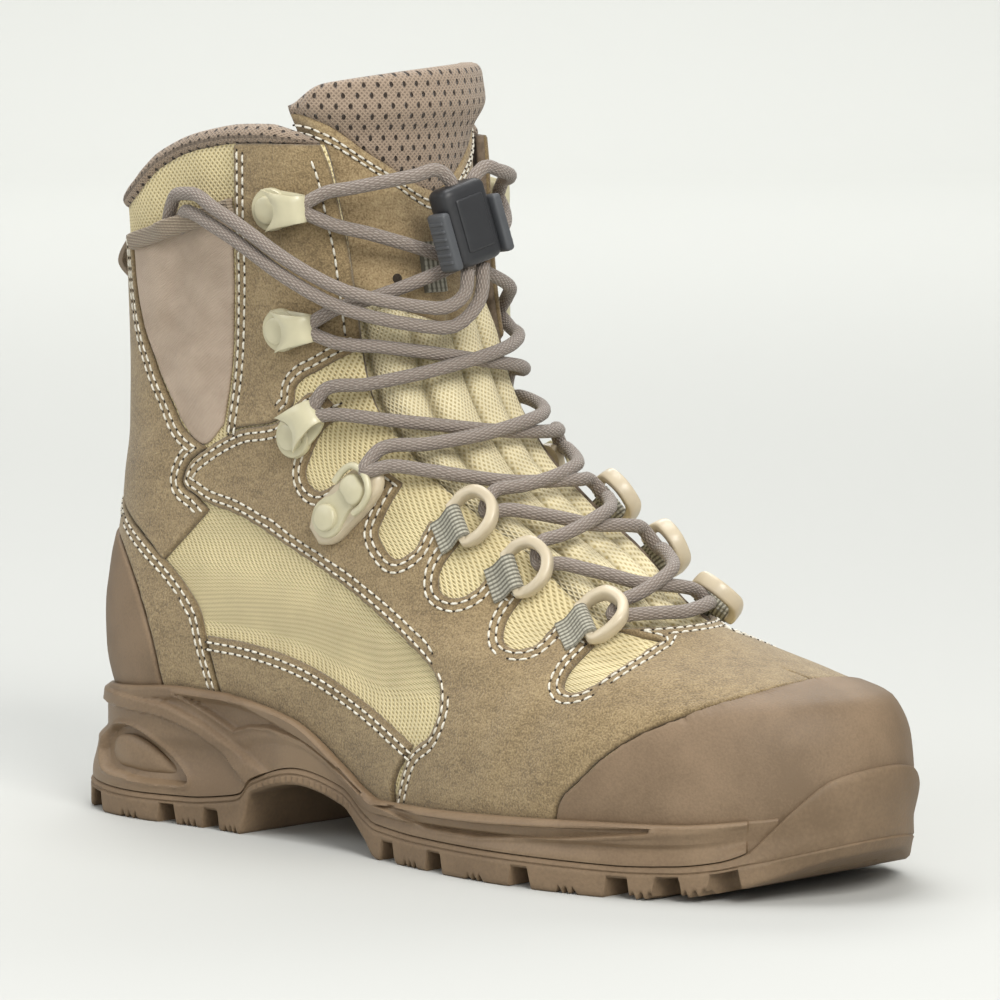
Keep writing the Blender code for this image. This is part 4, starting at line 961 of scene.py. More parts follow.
def add_wall():
    """The hollow boot body: woven outside, lined inside, open at the collar, throat and underneath."""
    bases, shares, throat_row = wall_rows()
    count = FRONT_COLUMNS + 2 * SIDE_COLUMNS
    us, heights = [], []
    for base, share in zip(bases, shares):
        guide = base + (COLLAR["height"].max() - SHAFT_LEVEL) * share
        left = edge_at(guide, LATERAL)
        right = edge_at(guide, MEDIAL)
        front = np.linspace(left, right, FRONT_COLUMNS + 1)
        medial = np.linspace(right, 1, SIDE_COLUMNS + 1)[1:]
        lateral = np.linspace(-1, left, SIDE_COLUMNS + 1)[1:-1]
        us.append(np.concatenate([front, medial, lateral]))
        heights.append(base + (collar_height(us[-1]) - base) * share)
    u, height = np.concatenate(us), np.concatenate(heights)
    faces = [face for face in grid_faces(len(bases), count, closed=True)
             if face[0] // count < throat_row or face[0] % count >= FRONT_COLUMNS]
    used, faces = np.unique(np.array(faces), return_inverse=True)
    faces = faces.reshape(-1, 4).tolist()
    u, height = u[used], height[used]
    points, closed = sandwich(skin(u, height), on_last(u, height, -WALL), faces)
    uv = np.tile(cloth_uv(u, height), (2, 1))
    lined = (np.arange(len(closed)) >= len(faces)).astype(int)
    piece("upper", points, closed, [TEXTILE, LINING], "woven_textile", ["upper"], uv, index=lined)


def to_skin(line, side):
    """(u, level) points of a side-view line, kept out of the throat and below the collar."""
    found = []
    for x, z in line:
        u, height = locate(x, z, side)
        if height > THROAT_LEVEL:
            u = side * max(abs(u), abs(edge_at(height, side)))
        top = float(collar_height(u)) if height > SHAFT_LEVEL else height
        found.append((u, min(height, top)))
    return np.array(found)


def at_back(line):
    """(u, level) points with u counted on round the back, for loops that cross it."""
    return np.column_stack([line[:, 0] % 2, line[:, 1]])


def feather_line(start, end, side):
    """(u, level) points along the feather line between two x values."""
    xs = np.linspace(start, end, FOOT_POINTS)
    return np.column_stack([u_at(xs, FEATHER_HEIGHT, side), np.full(FOOT_POINTS, FEATHER_HEIGHT)])


# Sewn panels: stitch rows, rows of points behind the rim, spacings, and the rounding of the cut edge
FOOT_POINTS = 60
SEAM_DEPTHS = (1.8, 4.1)
SEAM_STEP = 0.8
SEAM_PROBE = 2.0
SEAM_LEAST = 6
SEAM_CLEAR = 0.95
RIM_DEPTHS = (0.3, 0.7, 1.2, 2.0, 3.0)
RIM_CLEAR = 0.93
EDGE_SPACING = 1.1
BORDER_SPACING = 0.35
FILL_SPACING = 2.0
FILL_CLEAR = RIM_DEPTHS[-1] + 0.4 * FILL_SPACING
FILL_WAYS = 12
ROW_SHARE = 0.87
INSIDE_ONLY = 1
MERGE = 1e-5
ON_EDGE = 0.12
EDGE_ROUND = 1.2
EDGE_THIN = 0.25
PANEL_SINK = 0.05


def fill_points(loop):
    """Points of a staggered grid over the upper inside a loop."""
    low, high = loop[:, 1].min(), loop[:, 1].max()
    ways = np.linspace(loop[:, 0].min(), loop[:, 0].max(), FILL_WAYS)
    found = []
    height, row = low, 0
    while height < high:
        step = on_last(ways, min(height + 0.5, high)) - on_last(ways, height - 0.5)
        stretch = max(1.0, float(np.linalg.norm(step, axis=1).mean()))
        gap = FILL_SPACING / float(half_length(height))
        u = np.arange(ways[0], ways[-1], gap) + (row % 2) * gap / 2
        found.append(np.column_stack([u, np.full(len(u), height)]))
        height += ROW_SHARE * FILL_SPACING / stretch
        row += 1
    found = np.concatenate(found)
    return found[inside(found, loop)]


def panel(name, loop, thickness, material, slot, swell=None):
    """A sewn panel with a rounded cut edge, filled from its loop in (u, level)."""
    if loop_area(loop) < 0:
        loop = loop[::-1]
    edge = spread(loop, EDGE_SPACING, closed=True)
    fine = spread(loop, BORDER_SPACING, closed=True)
    border = on_last(*fine.T)
    way = inward(edge)
    found = [edge]
    for depth in RIM_DEPTHS:
        ring = slide(edge, way * depth)
        clear = nearest(on_last(*ring.T), border) > depth * RIM_CLEAR
        found.append(ring[clear & inside(ring, loop)])
    filled = fill_points(loop)
    found.append(filled[nearest(on_last(*filled.T), border) > FILL_CLEAR])
    found = np.concatenate(found)
    scale = float(half_length(loop[:, 1]).mean())
    flat = [Vector((u * scale, height)) for u, height in found]
    rim = [(i, (i + 1) % len(edge)) for i in range(len(edge))]
    verts, _, faces, *_ = delaunay_2d_cdt(flat, rim, [], INSIDE_ONLY, MERGE)
    u = np.array([v.x for v in verts]) / scale
    height = np.array([v.y for v in verts])
    depth = nearest(on_last(u, height), border)
    depth[depth < ON_EDGE] = 0.0
    share = np.clip(depth / EDGE_ROUND, 0, 1)
    out = GAP + thickness * (EDGE_THIN + (1 - EDGE_THIN) * np.sqrt(1 - (1 - share) ** 2))
    if swell is not None:
        out = out + swell(depth)
    outer = skin(u, height, out)
    inner = skin(u, height, PANEL_SINK)
    sheet(name, outer, inner, faces, material, slot, [name], cloth_uv(u, height), {"edge": depth})


SEAMS = []


def seam(line, loop, thickness, depths=SEAM_DEPTHS):
    """Rows of stitches beside a line, on the side where the panel lies."""
    line = spread(line, SEAM_STEP)
    way = inward(line, closed=False)
    if inside(slide(line, way * SEAM_PROBE), loop).mean() < 0.5:
        way = -way
    border = on_last(*line.T)
    for depth in depths:
        row = slide(line, way * depth)
        good = nearest(on_last(*row.T), border) > depth * SEAM_CLEAR
        start = 0
        for i in range(1, len(row) + 1):
            if i == len(row) or good[i] != good[i - 1]:
                if good[i - 1] and i - start > SEAM_LEAST:
                    SEAMS.append((row[start:i], GAP + thickness))
                start = i


def front_loop(halves):
    """One loop from a lateral and a medial half that meet on the centre line."""
    return np.concatenate([halves[0], halves[1][::-1]])


TOE_TIP = 146.0
HEEL_TIP = -142.0
CAP_FULL = 0.4
CAP_STEP = 0.5
CAP_CLEAR = (-0.4, 0.0, 0.2)


def add_toe():
    """Toe cap, and the vamp with its fingers, eyestay and ankle strap in one."""
    cap_halves, stay_halves, lines = [], [], []
    for side, _ in SIDES:
        cap = np.concatenate([[(0.0, CAP_EDGE_LEVEL)], to_skin(soft_line(CAP_EDGE), side)])
        toe = feather_line(CAP_EDGE[-1][0], TOE_TIP, side)
        cap_halves.append(np.concatenate([cap, toe, [(0.0, FEATHER_HEIGHT)]]))
        foot = feather_line(CAP_EDGE[-1][0] - CAP_STEP, STRAP_LOW[0][0], side)
        strap = to_skin(soft_line(STRAP_LOW), side)
        throat = spread([(edge_at(THROAT_LEVEL, side), THROAT_LEVEL), (0.0, THROAT_LEVEL)], 1.0)
        fingers = np.concatenate([to_skin(soft_line(FINGERS), side), throat])
        stay_halves.append(np.concatenate([slide(cap, CAP_CLEAR), foot, strap, fingers]))
        lines += [strap, fingers]
    panel("toe_cap", front_loop(cap_halves), CAP + CAP_FULL, CAP_COAT, "rubberised_leather")
    loop = front_loop(stay_halves)
    panel("eyestay", loop, PANEL, SUEDE, "suede")
    for line in lines:
        seam(line, loop, PANEL)


# Heights of the heel panels on the centre line behind, and the gap round the heel cup
BACK_X = -146.0
CUP_TOP = 91.0
HEEL_TOP = 108.0
HEEL_LOW = 92.0
QUARTER_TOP = 180.0
QUARTER_LOW = 108.6
CUP_STEP = 0.6
CUP_CLEAR = (0.6, 0.0, 0.5)


def back_spot(z):
    """(u, level) of the centre line behind at a height."""
    return np.array([(1.0, float(level_at(BACK_X, z)))])


def back_line(line, side):
    """(u, level) points of a side-view line, for a loop round the back."""
    return at_back(to_skin(soft_line(line), side))


def cup_half(side):
    """Half of the heel cup's loop, which is not sewn."""
    foot = at_back(feather_line(CUP_FRONT[-1][0], HEEL_TIP, side))
    return [back_spot(CUP_TOP), back_line(CUP_FRONT, side), foot, [(1.0, FEATHER_HEIGHT)]], None


def heel_half(side):
    """Half of the heel panel's loop and its sewn line."""
    front = np.concatenate([back_spot(HEEL_TOP), back_line(HEEL_FRONT, side)])
    foot = at_back(feather_line(HEEL_FRONT[-1][0], CUP_FRONT[-1][0] + CUP_STEP, side))
    cup = slide(back_line(CUP_FRONT, side), CUP_CLEAR)
    return [front, foot, cup[::-1], back_spot(HEEL_LOW)], front


def quarter_half(side):
    """Half of the back quarter's loop and its sewn line, which ends at the strap."""
    front = back_line(QUARTER_FRONT, side)
    return [back_spot(QUARTER_TOP), front, back_spot(QUARTER_LOW)], front[:len(front) * 2 // 3]


def add_heel():
    """Heel cup, heel panel and back quarter, which run round the back."""
    rows = (
        ("heel_cup", cup_half, CAP, CAP_COAT, "rubberised_leather"),
        ("heel_panel", heel_half, PANEL, SUEDE, "suede"),
        ("back_quarter", quarter_half, PANEL, SUEDE, "suede"),
    )
    for name, half, thickness, material, slot in rows:
        halves, lines = zip(*(half(side) for side, _ in SIDES))
        loop = front_loop([np.concatenate(part) for part in halves])
        panel(name, loop, thickness, material, slot)
        for line in lines:
            if line is not None:
                seam(line, loop, thickness)


FACING_LEVELS = np.linspace(156, 208, 40)
FACING_SEAM = (4.2,)
POCKET_THICK = 0.72
POCKET_FULL = 0.9
POCKET_SOFT = 14.0


def pocket_swell(depth):
    """Fullness of the pocket's cloth, by the distance in from its edge."""
    return POCKET_FULL * ease(depth / POCKET_SOFT)


def add_sides():
    """Lower side panels, shaft panels and the lace pocket."""
    rows = (
        ("side_panel_", SIDE_PANEL, (SIDE_PANEL[:5],)),
        ("shaft_panel_", SHAFT_PANEL, (SHAFT_PANEL[:5], SHAFT_PANEL[7:15])),
    )
    for side, word in SIDES:
        for name, outline, sewn in rows:
            loop = to_skin(soft_line(outline), side)[:-1]
            panel(name + word, loop, PANEL, SUEDE, "suede")
            for line in sewn:
                seam(to_skin(soft_line(line), side), loop, PANEL)
        facing = np.column_stack([edge_at(FACING_LEVELS, side), FACING_LEVELS])
        seam(facing, loop, PANEL, FACING_SEAM)
    loop = to_skin(soft_line(POCKET), LATERAL)[:-1]
    panel("lace_pocket", loop, POCKET_THICK, STRETCH, "stretch_fabric", pocket_swell)


# Stitches and the painted shade of needle holes; a stitch's rings are (place, size, lift) in shares of its
# half length and radius
STITCH_PITCH = 3.4
STITCH_LENGTH = 2.6
STITCH_RADIUS = 0.34
STITCH_LIFT = 0.05
STITCH_RINGS = ((-1, 0.45, -0.5), (-0.55, 0.95, 0.35), (0.55, 0.95, 0.35), (1, 0.45, -0.5))
STITCH_SIDES = 5
STITCH_FLAT = 1.15
HOLE_LENGTH = 1.0
HOLE_RADIUS = 0.3
HOLE_SINK = 0.1


def capsules(name, spots, ways, ups, length, radius, material):
    """Many small capsules as one mesh, for the stitches and for the painted shade of the needle holes."""
    across = np.cross(ups, ways)
    rings = []
    for place, size, lift in STITCH_RINGS:
        middle = spots + ways * (place * length / 2) + ups * (lift * radius)
        for k in range(STITCH_SIDES):
            turn = 2 * math.pi * k / STITCH_SIDES
            spoke = across * math.cos(turn) * STITCH_FLAT + ups * math.sin(turn)
            rings.append(middle + spoke * size * radius)
    points = np.stack(rings, axis=1).reshape(-1, 3)
    one = tube_faces(len(STITCH_RINGS), STITCH_SIDES)
    faces = [[v + i * len(rings) for v in face] for i in range(len(spots)) for face in one]
    piece(name, points, faces, material, "suede")


def add_stitches():
    """All stitches of the seams, with dark capsules of painted shade at the needle holes between them."""
    stitches, holes = [], []
    for row, out in SEAMS:
        line = spread(row, STITCH_PITCH / 2)
        points = skin(*line.T, out + STITCH_LIFT)
        tangent = unit(np.gradient(points, axis=0))
        up = normal(*line.T)
        stitches.append((points[1::2], tangent[1::2], up[1::2]))
        holes.append((points[0::2] - up[0::2] * HOLE_SINK, tangent[0::2], up[0::2]))
    capsules("stitches", *map(np.concatenate, zip(*stitches)), STITCH_LENGTH, STITCH_RADIUS, THREAD)
    # Painted shade: dark capsules at the needle holes, where the thread sinks into the suede.
    capsules("needle_hole_shade", *map(np.concatenate, zip(*holes)), HOLE_LENGTH, HOLE_RADIUS, HOLE_SHADE)


# Sole
FORE_GROOVE = (
    (-1, 16.5), (6, 17.4), (20, 16.6), (45, 17.4), (75, 19.2), (103, 21.2), (103, 19.8), (75, 16),
    (45, 13.2), (22, 12.9),
)
STATIONS = 560


def sole_stations():
    """x values from the heel tip to the toe tip, and the way round on each side."""
    turn = np.linspace(0, math.pi, STATIONS)
    heel = on_last(1.0, FEATHER_HEIGHT)[0]
    toe = on_last(0.0, FEATHER_HEIGHT)[0]
    x = heel + (toe - heel) * (1 - np.cos(turn)) / 2
    return x, u_at(x, FEATHER_HEIGHT, LATERAL), u_at(x, FEATHER_HEIGHT, MEDIAL)


STATION_X, LATERAL_U, MEDIAL_U = sole_stations()
RING_X = np.concatenate([STATION_X, STATION_X[-2:0:-1]])
RING_U = np.concatenate([LATERAL_U, MEDIAL_U[-2:0:-1]])


def beside(u, x, out, z):
    """Points beside the upper at a height, moved level and square out from it."""
    flat = unit(normal(u, FEATHER_HEIGHT)[:, :2])
    return np.column_stack([on_last(u, level_at(x, z))[:, :2] + flat * out[:, None], z])


def ring_points(out, z):
    """One row round the sole, moved out from the upper and set to a height."""
    z = np.broadcast_to(np.asarray(z, float), RING_X.shape)
    out = np.broadcast_to(np.asarray(out, float), RING_X.shape)
    return beside(RING_U, RING_X, out, z)


def sole_columns(names):
    """Columns of the sole table at every station of the ring."""
    return [sole(name, RING_X) for name in names.split()]


def held_edge(tray, rim, lip, out):
    """Where the bumper hides the midsole, where it covers the lip, and how far the midsole is held in."""
    dropped = rim > lip - BUMPER_COVER
    held = np.where(dropped, BUMPER_CLEAR, np.maximum(out - RIM_WIDTH, HELD_LEAST))
    return rim > tray + BUMPER_START, dropped, held


def ladder(start):
    """Faces from side to side across one row of the ring."""
    count = len(RING_X)
    faces = []
    for i in range(STATIONS - 1):
        corners = [i, i + 1, (count - i - 1) % count, (count - i) % count]
        faces.append([start + k for k in dict.fromkeys(corners)])
    return faces


def sole_body(rows):
    """Points and faces of (out, height) rows round the sole, closed below and above."""
    last = (len(rows) - 1) * len(RING_X)
    faces = grid_faces(len(rows), len(RING_X), closed=True) + ladder(0) + ladder(last)
    return np.concatenate([ring_points(*row) for row in rows]), faces


def depth_in(x, z, loop):
    """Distance inside a side-view loop, negative outside it."""
    spot = np.column_stack([x.ravel(), z.ravel()])
    loop = np.asarray(loop, float)
    best = np.full(len(spot), FAR)
    for a, b in zip(loop, np.roll(loop, -1, axis=0)):
        side = b - a
        share = np.clip(((spot - a) @ side) / (side @ side), 0, 1)
        best = np.minimum(best, np.linalg.norm(spot - a - share[:, None] * side, axis=1))
    return np.where(inside(spot, loop), best, -best).reshape(x.shape)


def eye_loop(scale):
    """The heel's eye in the side view, about its own middle."""
    middle = np.mean(EYE, axis=0)
    rounded = soft_line(EYE + EYE[:1])[:-1]
    return middle + (rounded - middle) * scale


# Relief on the side of the midsole: sunk fields as loop, depth, shift and width of the wall, then rise,
# place and width of the raised rim
SUNK_FIELDS = (
    (ARCH_PANEL, 1.5, 0.0, 0.8, (0.6, -0.6, 0.55)),
    (FORE_GROOVE, 1.8, 0.2, 0.6, (0.4, -0.8, 0.6)),
    (eye_loop(1.0) + np.array([EYE_STATION, 0]), EYE_DEPTH, 0.3, 0.8, (0.7, -0.9, 0.7)),
)
WAVE_END = -46.0
WAVE_FADE = 10.0
BAND_RISE = 1.3
TROUGH_DEPTH = 0.9
TROUGH_TOP = 3.2
BEAD_RISE = 0.5
BEAD_DROP = 2.0
BEAD_WIDTH = 1.8


def side_relief(x, z, lip):
    """Steps, lines and sunk fields on the side of the midsole."""
    wave_top = line_at(x, WAVE_TOP)
    band = ease((z - line_at(x, WAVE_LOW)) / 0.7) * ease(wave_top - z)
    trough = ease((z - wave_top) / 0.9) * ease((lip - TROUGH_TOP - z) / 1.2)
    rise = ease((WAVE_END - x) / WAVE_FADE) * (BAND_RISE * band - TROUGH_DEPTH * trough)
    rise = rise + BEAD_RISE * bump(z, lip - BEAD_DROP, BEAD_WIDTH)
    for loop, depth, shift, wall, (rim, place, width) in SUNK_FIELDS:
        inner = depth_in(x, z, loop)
        rise = rise + rim * bump(inner, place, width) - depth * ease((inner + shift) / wall)
    return rise


# Midsole: shares of its height with the reach at each, and how far its hidden parts stand clear
MIDSOLE_SHARES = np.array([0.0, 0.04, 0.42, 0.58, 0.82, 1.0])
MIDSOLE_REACH = "neck strap strap edge"
MIDSOLE_ROWS = 56
MIDSOLE_INSET = 0.6
HELD_LEAST = 3.3
DROP_CLEAR = 1.2
LIP_ROUND = 0.9
HUG_DEPTH = 1.5


def add_midsole():
    """Midsole: lip, strap wave, arch panel, forefoot groove and the heel's eye."""
    tray, rim, lip, out = sole_columns("tray rim lip out")
    hidden, dropped, held = held_edge(tray, rim, lip, out)
    top = np.where(dropped, lip - LIP_OVERLAP - DROP_CLEAR, lip)
    limit = np.where(hidden, held - GAP, out)
    start = np.minimum(rim + GAP, top - LIP_LEAST)
    start = np.where(dropped, (tray + GAP + top) / 2, start)
    hug = np.where(dropped, held - DROP_CLEAR, LIP_HUG)
    foot = np.minimum(limit, out - MIDSOLE_INSET)
    reach = [foot, foot] + [np.minimum(limit, column) for column in sole_columns(MIDSOLE_REACH)]
    rows = [(held - GAP - MIDSOLE_INSET, tray + GAP), (held - GAP, start - 0.15)]
    for share in np.linspace(0, 1, MIDSOLE_ROWS):
        i = int(np.searchsorted(MIDSOLE_SHARES, share, side="right")) - 1
        i = min(i, len(MIDSOLE_SHARES) - 2)
        t = ease((share - MIDSOLE_SHARES[i]) / (MIDSOLE_SHARES[i + 1] - MIDSOLE_SHARES[i]))
        z = start + (top - LIP_ROUND - start) * share
        here = reach[i] * (1 - t) + reach[i + 1] * t + np.where(hidden, 0, side_relief(RING_X, z, lip))
        rows.append((np.minimum(here, limit), z))
    edge = reach[-1]
    rows += [(edge - 0.3, top - 0.35), (edge - LIP_ROUND, top), (hug + 0.5, top + 0.05), (hug, top - 0.5)]
    rows += [(hug, lip - LIP_OVERLAP - HUG_DEPTH)]
    piece("midsole", *sole_body(rows), RUBBER, "midsole_rubber", ["midsole"], sharp=50)


# Tread: sipes in the lugs' edges, cross grooves and fine bars under the sole
SIPE_SHIFTS = (-2.4, 0, 2.4)
SIPE_LUG = 13
SIPE_ENDS = [-138, -70]
SIPE_HEIGHT = 1.8
SIPE_DEPTH = 4.0
GROOVE_WAY = np.array([0.25, 1.0]) / math.hypot(0.25, 1.0)
GROOVE_WIDE = 2.75
GROOVE_HEIGHT = NOTCH_HEIGHT - 1
BAR_PITCH = 9.0
BAR_HALF = 0.42
BAR_INSET = 13.0
BAR_HEIGHT = 2.2
ARCH_MIDDLE = -34.0
ARCH_HALF = 30.0


def notch_share(x, gap):
    """How much of the edge is notched away at a station, at a distance in from the edge."""
    share = np.zeros(np.broadcast(x, gap).shape)
    for middle in FOREFOOT_NOTCHES + HEEL_NOTCHES:
        across = ease(NOTCH_WIDTH / 2 + 0.5 - np.abs(x - middle))
        share = np.maximum(share, across * ease((NOTCH_DEPTH - gap) / 1.5))
    return share


def sipe_share(x, gap):
    """Small cuts in the lugs' edges, between the notches."""
    places = [(a + b) / 2 for a, b in zip(FOREFOOT_NOTCHES, FOREFOOT_NOTCHES[1:]) if b - a > SIPE_LUG]
    places += [(a + b) / 2 for a, b in zip(HEEL_NOTCHES, HEEL_NOTCHES[1:])] + SIPE_ENDS
    share = np.zeros(np.broadcast(x, gap).shape)
    for middle in places:
        for shift in SIPE_SHIFTS:
            across = ease((1.0 - np.abs(x - middle - shift)) / 0.7)
            share = np.maximum(share, across * ease(SIPE_DEPTH - gap))
    return share


def tread(x, gap, spot):
    """Rise of the underside above the ground line."""
    rise = np.maximum(NOTCH_HEIGHT * notch_share(x, gap), SIPE_HEIGHT * sipe_share(x, gap))
    for middle in CROSS_GROOVES:
        gone = spot - np.array([middle, float(centre_line(middle))])
        length = gone @ GROOVE_WAY
        across = gone @ np.array([GROOVE_WAY[1], -GROOVE_WAY[0]])
        cut = ease((GROOVE_WIDE - np.abs(across)) / 0.9) * ease((GROOVE_HALF - np.abs(length)) / 1.5)
        rise = np.maximum(rise, GROOVE_HEIGHT * cut)
    bars = ease((np.abs((x / BAR_PITCH) % 1 - 0.5) - BAR_HALF) / 0.06) * ease(gap - BAR_INSET)
    return np.maximum(rise, BAR_HEIGHT * bars * ease(np.abs(x - ARCH_MIDDLE) - ARCH_HALF))


# Outsole: columns across its underside, rounding of its edges, and the fine ribs at the arch
UNDER_COLUMNS = 72
FOOT_ROUND = 0.8
WELD = 1e-6
RIB_RISE = 0.35
RIB_TURN = 2.4
RIB_START = -62.0
RIB_END = -12.0


def underside(edge):
    """Points of the tread between the two sides of the outsole's lower edge."""
    lateral = edge[:STATIONS, :2]
    medial = np.concatenate([edge[:1], edge[STATIONS:][::-1], edge[STATIONS - 1:STATIONS]])[:, :2]
    share = np.linspace(0, 1, UNDER_COLUMNS)[None, :, None]
    flat = lateral[:, None] * (1 - share) + medial[:, None] * share
    width = np.linalg.norm(lateral - medial, axis=1)[:, None]
    gap = np.minimum(share, 1 - share)[..., 0] * width
    x = np.broadcast_to(STATION_X[:, None], gap.shape)
    z = sole("ground", x) + tread(x, gap, flat)
    return np.concatenate([flat, z[..., None]], axis=2).reshape(-1, 3)


def add_outsole():
    """Outsole with edge lugs, notches, tread, arch bridge and toe bumper."""
    ground, tray, rim, lip, out = sole_columns("ground tray rim lip out")
    hidden, _, held = held_edge(tray, rim, lip, out)
    under = TOE_UNDERCUT * ease((RING_X - TOE_START) / TOE_RUN)
    foot = out - FOOT_ROUND - under
    low = ground + tread(RING_X, np.zeros(RING_X.shape), ring_points(foot, ground)[:, :2])
    ribs = RIB_RISE * np.sin(RING_X * RIB_TURN)
    ribs = ribs * ease((RING_X - RIB_START) / 4) * ease((RIB_END - RING_X) / 4)
    rows = [(foot, low), (out - 0.1 - under * 0.8, low + 0.7)]
    for share in np.linspace(0.15, 1, 7):
        rows.append((out + ribs - under * 0.8 * (1 - share), low + 0.7 + (tray - 0.9 - low - 0.7) * share))
    rows += [(out - 0.45, tray - 0.35), (out, tray + 0.2)]
    rows += [(out - 0.5 * share, tray + (rim - 0.7 - tray) * share) for share in np.linspace(0.2, 1, 9)]
    rows += [(out - 0.9, rim - 0.15), (np.maximum(out - 1.6, held + 0.3), rim), (held, rim - 0.4)]
    rows += [(held, np.where(hidden, np.minimum(lip, rim - 1), rim - 0.6))]
    rows += [(held - 0.5, np.minimum(tray + 0.1, rim - 0.7))]
    rows = [ring_points(*row) for row in rows]
    count = len(RING_X)
    faces = grid_faces(len(rows), count, closed=True) + ladder((len(rows) - 1) * count)
    faces += grid_faces(STATIONS, UNDER_COLUMNS, start=len(rows) * count)
    points = np.concatenate(rows + [underside(rows[0])])
    item = piece("outsole", points, faces, TREAD, "outsole_rubber", ["outsole"], sharp=50)
    clean(item.data, WELD)


def add_insole():
    """Insole with a slightly cupped top."""
    low = sole("lip", RING_X) - LIP_OVERLAP
    top = low + INSOLE
    inner = -(WALL + INSOLE_CLEAR)
    rows = ((inner, low), (inner, top - 0.8), (inner - 0.8, top), (inner - 5, top - 0.8))
    piece("insole", *sole_body(rows), FOOTBED, "insole_fabric", ["insole"], sharp=60)


LENS_RINGS = ((1.0, 0.3), (0.98, 1.2), (0.86, 2.0), (0.6, 2.5), (0.25, 2.7))


def add_lenses():
    """The plain lens in each eye of the heel, from (scale, depth) rings."""
    loop = eye_loop(LENS_SCALE)
    middle = loop.mean(0)
    for side, word in SIDES:
        rows = []
        for scale, depth in LENS_RINGS:
            x, z = (middle + (loop - middle) * scale).T
            x = x + EYE_STATION
            rows.append(beside(u_at(x, FEATHER_HEIGHT, side), x, sole("neck", x) - EYE_DEPTH + depth, z))
        name = "heel_lens_" + word
        count = len(loop)
        faces = grid_faces(len(rows), count, closed=True)
        faces += [list(range(first, first + count)) for first in (0, (len(rows) - 1) * count)]
        piece(name, np.concatenate(rows), faces, RUBBER, "midsole_rubber", [name])


# Padding and tongue
COLLAR_COLUMNS = 220
COLLAR_RING = 20
COLLAR_INSET = 0.012
COLLAR_DEEP = 4.0
COLLAR_TALL = 3.0
COLLAR_SINK = -2.3
COLLAR_DROP = -0.4
COLLAR_TAPER = 16.0
COLLAR_TIP = 0.04
COLLAR_GIRTH = 26.0
PUFF_SHARE = 0.05
PUFF_LENGTH = 9.0


def add_collar():
    """Padded roll of holed mesh on the top edge, from facing to facing round the back."""
    top = COLLAR["height"][-1]
    start = edge_at(top, MEDIAL) + COLLAR_INSET
    end = 2 + edge_at(top, LATERAL) - COLLAR_INSET
    way = np.linspace(start, end, COLLAR_COLUMNS)
    height = collar_height(way)
    run = run_along(on_last(way, height))
    taper = np.sqrt(np.clip(np.minimum(run, run[-1] - run) / COLLAR_TAPER, COLLAR_TIP, 1))
    puff = taper * (1 + PUFF_SHARE * np.sin(run / PUFF_LENGTH) * taper)
    points, uv = [], []
    for k in range(COLLAR_RING):
        turn = 2 * math.pi * k / COLLAR_RING
        out = COLLAR_SINK + COLLAR_DEEP * math.cos(turn) * puff
        lift = COLLAR_DROP + COLLAR_TALL * (taper + math.sin(turn) * puff)
        points.append(on_last(way, height + lift, out))
        uv.append(np.column_stack([run, np.full(len(run), COLLAR_GIRTH * k / COLLAR_RING)]))
    points = np.stack(points, axis=1).reshape(-1, 3)
    uv = np.stack(uv, axis=1).reshape(-1, 2)
    faces = tube_faces(COLLAR_COLUMNS, COLLAR_RING)
    item = piece("collar", points, faces, MESH, "padded_mesh", ["collar"], uv)


# Tongue: where its wings widen, its face stands out, it thickens, its folds end, how dark the painted shade
# in its fold valleys is, and where its wings tuck in
WING = 7.0
WING_START = 188.0
WING_RUN = 24.0
FACE_OUT = 3.5
FACE_OUT_START = 214.0
FACE_OUT_RUN = 10.0
TONGUE_FULL = 4.0
FULL_START = 190.0
FULL_RUN = 25.0
FOLD_END = 172.0
FOLD_FADE = 20.0
FOLD_SHADE = 0.75
TUCK = 3.4
TUCK_START = 194.0
TUCK_RUN = 12.0
TUCK_SHARE = 0.76
TUCK_FADE = 0.2
RIM_HALF = 30.0
RIM_ROUND = 3.5
RIM_THIN = 0.35
CROWN_RUN = 12.0


def tongue_place(t, height):
    """Way round the last for a share of the tongue's half width."""
    side_edges = np.where(t < 0, edge_at(height, LATERAL), edge_at(height, MEDIAL))
    spot = on_last(side_edges, height)
    row_width = np.abs(spot[..., 1] - centre_line(spot[..., 0]))
    underlap = TONGUE_UNDERLAP + WING * ease((height - WING_START) / WING_RUN)
    return t * np.abs(side_edges) * (1 + underlap / row_width)


def tongue_face(height):
    """Distance of the tongue's outer face from the last."""
    return FACE_OUT * ease((height - FACE_OUT_START) / FACE_OUT_RUN) - (WALL + TONGUE_CLEAR)


def tongue_back(height):
    """Distance of the tongue's inner face from the last."""
    return tongue_face(height) - TONGUE - TONGUE_FULL * ease((height - FULL_START) / FULL_RUN)


# Folds of the lower tongue over its half width: valleys (place, width) and ridges (place, width, rise)
VALLEYS = ((0.0, 0.03), (0.42, 0.045), (0.86, 0.035))
RIDGES = ((0.22, 0.13, 1.8), (0.64, 0.14, 3.2))
VALLEY_DEPTH = 1.6


def tongue_valleys(t, height):
    """Share of a valley between the lower tongue's folds."""
    low = ease((FOLD_END - height) / FOLD_FADE)
    return low * sum(bump(np.abs(t), place, width) for place, width in VALLEYS)


def tongue_folds(t, height):
    """Ridges and valleys of the lower tongue and its gussets."""
    low = ease((FOLD_END - height) / FOLD_FADE)
    ridges = sum(rise * bump(np.abs(t), place, width) for place, width, rise in RIDGES)
    return low * ridges - VALLEY_DEPTH * tongue_valleys(t, height)


